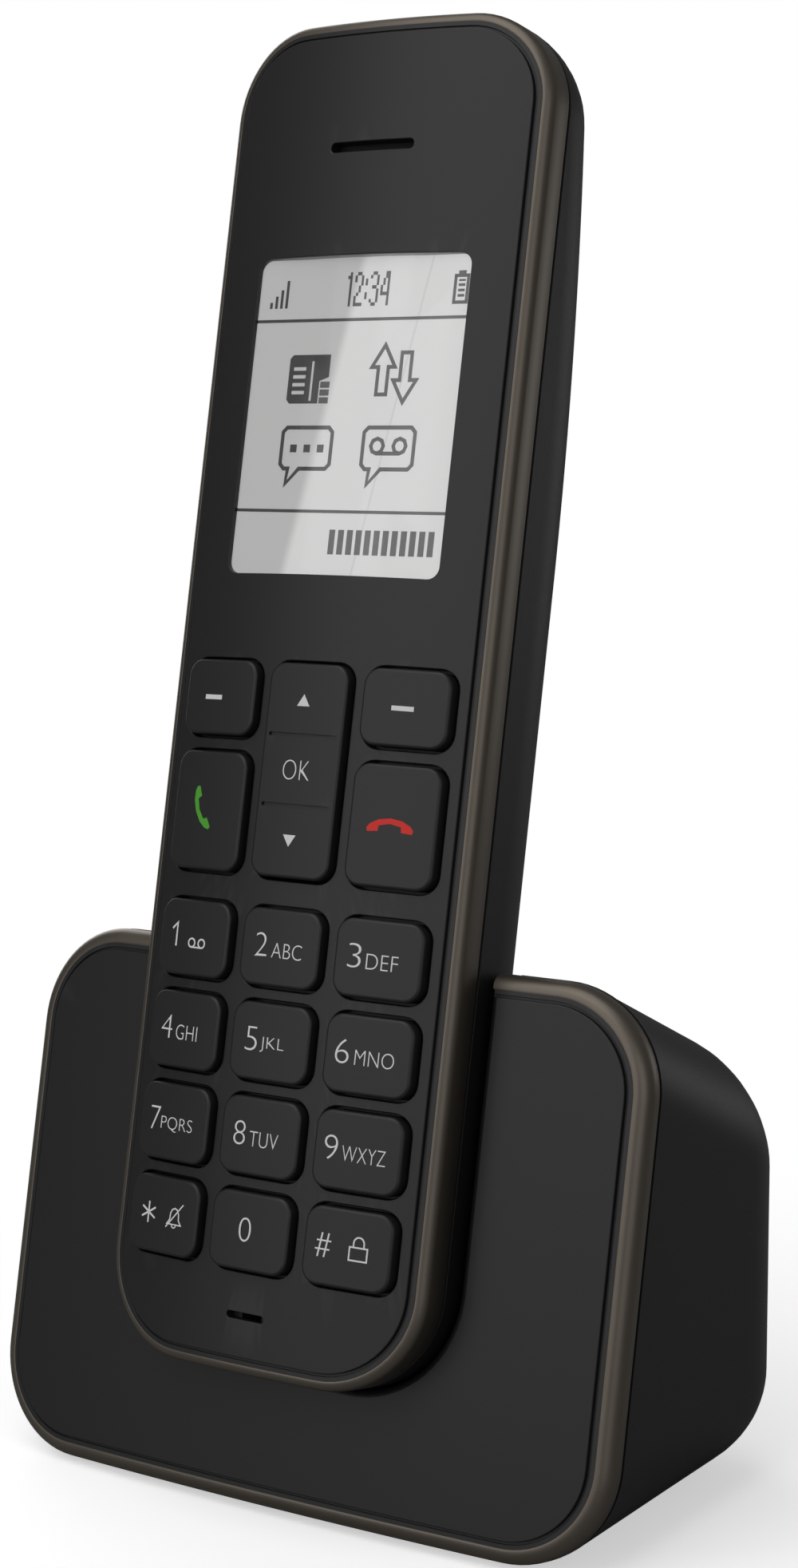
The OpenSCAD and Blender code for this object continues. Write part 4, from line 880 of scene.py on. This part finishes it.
def text_art(words):
    """Flat mesh of short texts: each is the letters, its left edge, its baseline, its height and its
    width. The letters are fitted to that height and width."""
    work = bmesh.new()
    for letters, left, base, tall, wide, weight in words:
        curve = bpy.data.curves.new("letters", "FONT")
        curve.body = letters
        curve.offset = weight
        curve.resolution_u = 6
        thing = bpy.data.objects.new("letters", curve)
        bpy.context.scene.collection.objects.link(thing)
        bpy.context.view_layer.update()
        mesh = bpy.data.meshes.new_from_object(thing.evaluated_get(bpy.context.evaluated_depsgraph_get()))
        bpy.data.objects.remove(thing)
        co = np.empty(len(mesh.vertices) * 3)
        mesh.vertices.foreach_get("co", co)
        co = co.reshape(-1, 3)
        low, high = co.min(0), co.max(0)
        co[:, 0] = left + (co[:, 0] - low[0]) / (high[0] - low[0]) * wide
        co[:, 1] = base + (co[:, 1] - low[1]) / (high[1] - low[1]) * tall
        co[:, 2] = 0
        mesh.vertices.foreach_set("co", co.ravel())
        work.from_mesh(mesh)
    flat = bpy.data.meshes.new("art")
    work.to_mesh(flat)
    work.free()
    return flat


def shape_art(polygons):
    """Flat mesh of simple polygons given by their corners."""
    flat = bpy.data.meshes.new("art")
    points, faces = [], []
    for corners in polygons:
        faces.append(list(range(len(points), len(points) + len(corners))))
        points += [(float(x), float(z), 0.0) for x, z in corners]
    flat.from_pydata(points, [], faces)
    flat.update()
    return flat


def stroke(path, width, closed=False):
    """Quads along a path of points, one line width wide, mitred at its turns."""
    p = np.array(path, float)
    ahead = (np.roll(p, -1, 0) - p) if closed else np.diff(p, axis=0, append=2 * p[-1:] - p[-2:-1])
    behind = (p - np.roll(p, 1, 0)) if closed else np.diff(p, axis=0, prepend=2 * p[:1] - p[1:2])
    ahead /= np.linalg.norm(ahead, axis=1, keepdims=True)
    behind /= np.linalg.norm(behind, axis=1, keepdims=True)
    bisect = ahead + behind
    bisect /= np.linalg.norm(bisect, axis=1, keepdims=True)
    normal = np.stack([-bisect[:, 1], bisect[:, 0]], -1)
    spread = width / 2 / np.clip((bisect * ahead).sum(1, keepdims=True), 0.5, 1)
    left, right = p + normal * spread, p - normal * spread
    last = len(p) if closed else len(p) - 1
    return [[right[i], right[(i + 1) % len(p)], left[(i + 1) % len(p)], left[i]] for i in range(last)]


def circle_path(x, z, radius, start=0, stop=360, count=20):
    """Points along an arc round (x, z), from a start angle to a stop angle in degrees."""
    turn = np.radians(np.linspace(start, stop, count))
    return np.stack([x + radius * np.cos(turn), z + radius * np.sin(turn)], -1)


def legend(node, label, art, material=None):
    """Print on a key top, riding with its key."""
    return printed(node + "_" + label, node, art, material or LEGEND, key_top)


# Left edge, width and letters of each number key's legend; heights follow from the row
DIGIT_TALL, LETTER_TALL = 3.0, 1.9
number_words = {
    "key_2": [("2", -3.65, 1.85), ("ABC", -1.05, 4.55)],
    "key_3": [("3", 10.15, 1.85), ("DEF", 12.75, 4.3)],
    "key_4": [("4", -18.1, 1.95), ("GHI", -15.4, 3.7)],
    "key_5": [("5", -3.65, 1.85), ("JKL", -1.25, 3.6)],
    "key_6": [("6", 9.85, 1.9), ("MNO", 12.6, 5.3)],
    "key_7": [("7", -18.3, 1.75), ("PQRS", -16.3, 5.5)],
    "key_8": [("8", -3.85, 1.8), ("TUV", -1.35, 4.35)],
    "key_9": [("9", 9.75, 1.85), ("WXYZ", 12.25, 5.9)],
    "key_0": [("0", -1.45, 1.85)],
}
row_of = {node: row for node, column, row in number_keys}
for node, words in number_words.items():
    base = FIRST_ROW + row_of[node] * ROW - 1.25
    legend(node, "legend", text_art([(letters, left, base, DIGIT_TALL if letters.isdigit() else LETTER_TALL,
                                      wide, -0.021 if letters.isdigit() else -0.018)
                                     for letters, left, wide in words]))

ONE_BASE = FIRST_ROW + 3 * ROW - 1.25
one = stroke([(-18.0, ONE_BASE + 2.2), (-17.15, ONE_BASE + 3.0), (-17.15, ONE_BASE)], 0.27)
legend("key_1", "legend", shape_art(one))
loops = stroke(circle_path(-14.35, ONE_BASE + 0.62, 0.55, 0, 360, 21)[:-1], 0.22, True)
loops += stroke(circle_path(-12.65, ONE_BASE + 0.62, 0.55, 0, 360, 21)[:-1], 0.22, True)
loops += stroke([(-14.35, ONE_BASE + 0.07), (-12.65, ONE_BASE + 0.07)], 0.2)
legend("key_1", "loops", shape_art(loops))

LOW_BASE = FIRST_ROW - 1.25
STAR_X, STAR_ARM = -16.75, 1.35
star = []
for turn in (90, 30, 150, 210, 270, 330):
    angle = math.radians(turn)
    tip = (STAR_X + STAR_ARM * math.cos(angle), LOW_BASE + STAR_ARM + STAR_ARM * math.sin(angle))
    star += stroke([(STAR_X, LOW_BASE + STAR_ARM), tip], 0.25)
legend("key_star", "legend", shape_art(star))
bell = stroke([(x, LOW_BASE + z) for x, z in (
    (-13.35, 0.35), (-10.95, 0.35), (-11.4, 0.95), (-11.45, 1.7), (-11.7, 2.2), (-12.15, 2.4),
    (-12.6, 2.2), (-12.85, 1.7), (-12.9, 0.95))], 0.18, True)
bell += stroke(circle_path(-12.15, LOW_BASE + 0.28, 0.35, 180, 360, 9), 0.16)
bell += stroke([(-13.5, LOW_BASE - 0.1), (-10.8, LOW_BASE + 3.0)], 0.18)
legend("key_star", "bell", shape_art(bell))
hash_lines = stroke([(10.35, LOW_BASE - 0.1), (10.8, LOW_BASE + 2.85)], 0.22)
hash_lines += stroke([(11.25, LOW_BASE - 0.1), (11.7, LOW_BASE + 2.85)], 0.22)
hash_lines += stroke([(9.95, LOW_BASE + 0.85), (11.95, LOW_BASE + 0.85)], 0.2)
hash_lines += stroke([(10.1, LOW_BASE + 1.9), (12.1, LOW_BASE + 1.9)], 0.2)
legend("key_hash", "legend", shape_art(hash_lines))
lock = stroke([(14.65, LOW_BASE + 0.05), (17.05, LOW_BASE + 0.05), (17.05, LOW_BASE + 1.65),
               (14.65, LOW_BASE + 1.65)], 0.2, True)
lock += stroke(np.concatenate([[(15.15, LOW_BASE + 1.7)], circle_path(15.85, LOW_BASE + 2.2, 0.7, 180, 0, 13),
                               [(16.55, LOW_BASE + 1.7)]]), 0.2)
legend("key_hash", "lock", shape_art(lock))

SOFT_MIDDLE = FUNCTION_HIGH - SOFT_HEIGHT / 2
for key, start, stop in (("key_soft_left", -16.65, -13.75), ("key_soft_right", 12.5, 15.55)):
    dash = stroke([(start, SOFT_MIDDLE - 0.05), (stop, SOFT_MIDDLE - 0.05)], 0.6)
    legend(key, "dash", shape_art(dash))
legend("key_menu", "arrows", shape_art([
    [(-1.22, MENU_CENTRE + 8.1), (0.7, MENU_CENTRE + 8.1), (-0.26, MENU_CENTRE + 9.6)],
    [(-1.22, MENU_CENTRE - 8.1), (-0.26, MENU_CENTRE - 9.6), (0.7, MENU_CENTRE - 8.1)]]))
legend("key_menu", "ok", text_art([("OK", -2.35, MENU_CENTRE - 1.2, 2.5, 4.1, -0.024)]))


def receiver(x, z, size, tilt):
    """Telephone receiver: a bow with a square pad at each end, turned by a tilt in degrees."""
    bow = [(-1, -0.35), (-0.86, -0.08), (-0.5, 0.2), (0, 0.31), (0.5, 0.2), (0.86, -0.08), (1, -0.35),
           (0.95, -0.56), (0.5, -0.5), (0.47, -0.16), (0, -0.02), (-0.47, -0.16), (-0.5, -0.5), (-0.95, -0.56)]
    p = np.array(bow) * (size, 0.64 * size)
    c, s = math.cos(math.radians(tilt)), math.sin(math.radians(tilt))
    p = np.stack([x + p[:, 0] * c - p[:, 1] * s, z + p[:, 0] * s + p[:, 1] * c], -1)
    order = [[0, 13, 12, 11, 2, 1], [2, 11, 10, 3], [3, 10, 9, 4], [4, 9, 8, 7, 6, 5]]
    return [[p[i] for i in quad] for quad in order]


CALL_MIDDLE = FUNCTION_LOW + CALL_HEIGHT / 2
legend("key_call", "receiver", shape_art(receiver(-15.6, CALL_MIDDLE, 3.0, 115)), GREEN)
legend("key_end", "receiver", shape_art(receiver(14.0, CALL_MIDDLE + 0.35, 3.2, 0)), RED)


# ---------------------------------------------------------------- display
DISPLAY_DEPTH = 1.75
DOT = 0.36


def plate_piece(name, steps, material, replaced):
    """Plate behind the window, given by steps of how far it stands out past the window, its depth, and 1
    where it follows the handset's curve: a rounded rectangle carried from front to back."""
    grow, depth, curved = np.array(steps, float).T[:, :, None]
    x, z = outline(-grow, WINDOW_HALF_X, -WINDOW_HALF_Z, WINDOW_HALF_Z,
                   WINDOW_CORNER, WINDOW_CORNER, 17, 17, 7)
    rows = place(x, depth + curved * handset_front(x), z + WINDOW_CENTRE, HANDSET_FOOT)
    ends = [place(np.array(0.0), depth[i, 0], np.array(WINDOW_CENTRE), HANDSET_FOOT) for i in (0, -1)]
    mesh = solid_mesh(name, *lofted(rows, *ends))
    return finish_piece(name, mesh, "handset", material, 32, replaced)


plate_piece("window_plate", [(-0.05, 0.28, 1), (-0.05, 1.62, 0)], WINDOW, ("display_lens",))
plate_piece("display_glass", [(-0.06, DISPLAY_DEPTH, 0), (-0.06, 3.0, 0), (1.2, 3.0, 0), (1.2, 5.2, 0)],
            DISPLAY, ("display_panel",))


def on_display(x):
    """Depth of the signs on the display at x, just in front of its glass."""
    return np.full(np.shape(x), DISPLAY_DEPTH - 0.01)


def blocks(parts, left, low, dot=DOT, tall=None):
    """Squares of a dot picture: each part is its column, row, columns and rows, counted in dots."""
    tall = tall or dot
    return [[(left + a * dot, low + b * tall), (left + (a + c) * dot, low + b * tall),
             (left + (a + c) * dot, low + (b + d) * tall), (left + a * dot, low + (b + d) * tall)]
            for a, b, c, d in parts]


digit_parts = {
    "1": [(2, 0, 1, 10), (1, 8, 1, 1)],
    "2": [(0, 0, 4, 1), (0, 1, 1, 2), (1, 3, 1, 1), (2, 4, 1, 2), (3, 6, 1, 3), (1, 9, 2, 1), (0, 7, 1, 2)],
    "3": [(0, 1, 1, 1), (1, 0, 2, 1), (3, 1, 1, 4), (1, 5, 2, 1), (3, 6, 1, 3), (1, 9, 2, 1), (0, 8, 1, 1)],
    "4": [(3, 0, 1, 10), (0, 3, 3, 1), (0, 4, 1, 2), (1, 6, 1, 2), (2, 8, 1, 2)],
    ":": [(0, 2, 1, 2), (0, 6, 1, 2)],
}


def display_marks():
    """Everything the display shows, as thin dot pictures of generic signs."""
    art = []
    pen = -2.85
    for sign, wide in (("1", 4.4), ("2", 5), (":", 2.2), ("3", 5), ("4", 5)):
        art += blocks(digit_parts[sign], pen, 135.05, 0.33, 0.44)
        pen += wide * 0.33
    art += blocks([(0, 0, 1, 2), (2, 0, 1, 4), (4, 0, 1, 6), (6, 0, 1, 9)], -14.4, 135.0, 0.40, 0.40)
    art += blocks([(0, 0, 5, 1), (0, 8, 5, 1), (0, 0, 1, 9), (4.4, 0, 1, 9), (1.4, 9, 2.6, 1),
                   (1.7, 2.1, 2.3, 0.8), (1.7, 3.7, 2.3, 0.8), (1.7, 5.3, 2.3, 0.8),
                   (1.7, 6.8, 2.3, 0.6)], 13.6, 135.0, 0.42, 0.42)
    for level in (133.35, 108.75):
        art += [[(-17.2, level - 0.2), (17.2, level - 0.2), (17.2, level + 0.2), (-17.2, level + 0.2)]]
    page = (-10.2, 122.6, 6.0, 6.3)
    art += [[(page[0] + a, page[1] + b) for a, b in (
        (0.5, 0), (4.9, 0), (4.9, 2.9), (6.3, 3.4), (6.3, page[3]), (0.5, page[3]), (0, page[3] - 0.5), (0, 0.5))]]
    up = [(1.0, 0.0), (1.0, 3.5), (0, 3.5), (1.75, 6.3), (3.5, 3.5), (2.5, 3.5), (2.5, 0.0)]
    for left, low, turned in ((2.6, 123.7, 1), (6.0, 122.7, -1)):
        art += stroke([(left + a, low + (b if turned > 0 else 6.3 - b)) for a, b in up], 0.5, True)
    bubble = [(0.6, 2.1), (1.3, 2.1), (1.1, 0.1), (3.0, 2.1), (7.1, 2.1), (7.7, 2.7), (7.7, 6.8), (7.1, 7.4),
              (0.6, 7.4), (0, 6.8), (0, 2.7)]
    for left in (-10.1, 2.5):
        art += stroke([(left + a, 112.1 + b) for a, b in bubble], 0.52, True)
    for dot in range(3):
        art += blocks([(0, 0, 2.8, 2.8)], -8.75 + dot * 2.1, 116.3)
    for centre in (4.65, 8.05):
        art += stroke(circle_path(centre, 117.15, 0.95, 0, 360, 9)[:-1], 0.5, True)
    art += stroke([(4.65, 116.2), (8.05, 116.2)], 0.5)
    printed("display_signs", "handset", shape_art(art), INK, on_display)
    white = blocks([(0, row, 5.6, 1.3) for row in (0, 3, 6, 9)] + [(8.2, -2.5, 0.9, 15)],
                   page[0] + 0.75, page[1] + 1.2, 0.34)
    printed("display_page_dots", "handset", shape_art(white), DISPLAY, lambda x: on_display(x) - 0.03)
    stack = blocks([(0, row, 3.4, 1.9) for row in (0, 2.4, 4.8)], page[0] + 5.1, page[1], 0.42)
    printed("display_grey_dots", "handset", shape_art(stack), INK_GREY, on_display)
    bars = blocks([(n * 3.1, 0, 2.0, 7) for n in range(12)], -1.2, 103.3, 0.44, 0.45)
    printed("display_bars", "handset", shape_art(bars), INK_GREY, on_display)


display_marks()


# ---------------------------------------------------------------- stage, light and camera
FLOOR_FILL = 0.52


def floor():
    """Pale floor: diffuse close to the phone, where its shadow lies, and clean white further out."""
    turn = np.linspace(0, 2 * math.pi, 96, endpoint=False)
    radius = np.concatenate([np.linspace(0.01, 0.4, 12), np.geomspace(0.5, 30, 14)])[:, None]
    points = np.stack([radius * np.cos(turn), radius * np.sin(turn), 0 * radius + 0 * turn], -1)
    m, n = points.shape[:2]
    mesh = bpy.data.meshes.new("floor")
    everything = np.concatenate([points.reshape(-1, 3), [[0, 0, 0]]])
    faces = quads(m, n)[:, ::-1].tolist() + fan(0, n, m * n, flip=True).tolist()
    mesh.from_pydata(everything.tolist(), [], faces)
    mesh.update()
    material = bpy.data.materials.new("floor_white")
    material.use_nodes = True
    tree = material.node_tree
    tree.nodes.clear()
    link = tree.links.new
    out = node_of(tree, "ShaderNodeOutputMaterial")
    matt = node_of(tree, "ShaderNodeBsdfDiffuse", Color=(0.9, 0.9, 0.9, 1))
    dim = node_of(tree, "ShaderNodeBsdfDiffuse", Color=(0.3, 0.3, 0.3, 1))
    white = node_of(tree, "ShaderNodeEmission", Color=(1, 1, 1, 1), Strength=1.0)
    where = node_of(tree, "ShaderNodeTexCoord")
    length = node_of(tree, "ShaderNodeVectorMath", operation="LENGTH")
    spread = node_of(tree, "ShaderNodeMapRange", interpolation_type="SMOOTHSTEP")
    spread.inputs["From Min"].default_value = 0.06
    spread.inputs["From Max"].default_value = 0.20
    mix = node_of(tree, "ShaderNodeMixShader")
    link(where.outputs["Object"], length.inputs[0])
    link(length.outputs["Value"], spread.inputs["Value"])
    ray = node_of(tree, "ShaderNodeLightPath")
    share = node_of(tree, "ShaderNodeMath", operation="MULTIPLY")
    link(spread.outputs[0], share.inputs[0])
    link(ray.outputs["Is Camera Ray"], share.inputs[1])
    fill = node_of(tree, "ShaderNodeEmission", Color=(1, 1, 1, 1), Strength=FLOOR_FILL)
    near = node_of(tree, "ShaderNodeAddShader")
    pick = node_of(tree, "ShaderNodeMixShader")
    link(matt.outputs[0], near.inputs[0])
    link(fill.outputs[0], near.inputs[1])
    link(ray.outputs["Is Camera Ray"], pick.inputs[0])
    link(dim.outputs[0], pick.inputs[1])
    link(near.outputs[0], pick.inputs[2])
    link(share.outputs[0], mix.inputs[0])
    link(pick.outputs[0], mix.inputs[1])
    link(white.outputs[0], mix.inputs[2])
    link(mix.outputs[0], out.inputs[0])
    mesh.materials.append(material)
    thing = bpy.data.objects.new("floor", mesh)
    bpy.context.scene.collection.objects.link(thing)


floor()


def softbox(name, azimuth, elevation, distance, width, height, power):
    """Soft rectangular lamp that looks at the middle of the phone. Azimuth 0 is in front, 90 at its right."""
    lamp = bpy.data.lights.new(name, "AREA")
    lamp.shape, lamp.size, lamp.size_y, lamp.energy = "RECTANGLE", width, height, power
    thing = bpy.data.objects.new(name, lamp)
    bpy.context.scene.collection.objects.link(thing)
    a, e = math.radians(azimuth), math.radians(elevation)
    back = Vector((math.sin(a) * math.cos(e), -math.cos(a) * math.cos(e), math.sin(e)))
    thing.location = Vector((0, 0, 0.09)) + back * distance
    thing.rotation_mode = "QUATERNION"
    thing.rotation_quaternion = back.to_track_quat("Z", "Y")


softbox("front", -8, 24, 1.0, 0.8, 1.1, 2.5)
softbox("ring_front", -34, 12, 1.0, 0.25, 1.0, 0.7)
softbox("ring_side", 52, 8, 1.0, 0.7, 0.9, 1.5)
softbox("overhead", -15, 68, 1.0, 0.9, 0.9, 3.2)
softbox("left_back", -125, 20, 1.0, 0.5, 0.9, 2.5)
softbox("right_back", 158, -1, 1.0, 0.4, 0.4, 0.4)

world = bpy.data.worlds.new("studio")
bpy.context.scene.world = world
world.use_nodes = True
sky = world.node_tree
sky.nodes.clear()
sky_out = node_of(sky, "ShaderNodeOutputWorld")
seen = node_of(sky, "ShaderNodeBackground", Strength=1.0)
lighting = node_of(sky, "ShaderNodeBackground", Strength=0.13)
ray = node_of(sky, "ShaderNodeLightPath")
choose = node_of(sky, "ShaderNodeMixShader")
seen.inputs["Color"].default_value = (1, 1, 1, 1)
lighting.inputs["Color"].default_value = (1, 1, 1, 1)
sky.links.new(ray.outputs["Is Camera Ray"], choose.inputs[0])
sky.links.new(lighting.outputs[0], choose.inputs[1])
sky.links.new(seen.outputs[0], choose.inputs[2])
sky.links.new(choose.outputs[0], sky_out.inputs[0])
bpy.context.scene.view_settings.view_transform = "Standard"

# The camera stands to the right of the phone and looks slightly down at it
CAMERA_PLACE = Vector((0.214256, 0.0, 0.135369))
CAMERA_AHEAD = -0.288394
FACE_START = Vector(FACE_FOOT.tolist()) * MM
eye = bpy.data.cameras.new("eye")
eye.sensor_fit, eye.sensor_height, eye.lens = "VERTICAL", 36, 67.67
eye.clip_start, eye.clip_end = 0.01, 100
camera = bpy.data.objects.new("camera", eye)
bpy.context.scene.collection.objects.link(camera)
camera.location = (CAMERA_PLACE.x, CAMERA_AHEAD + FACE_START.y, CAMERA_PLACE.z + FACE_START.z)
camera.rotation_euler = (math.pi / 2 - 0.1199, 0, 0.5907)
bpy.context.scene.camera = camera
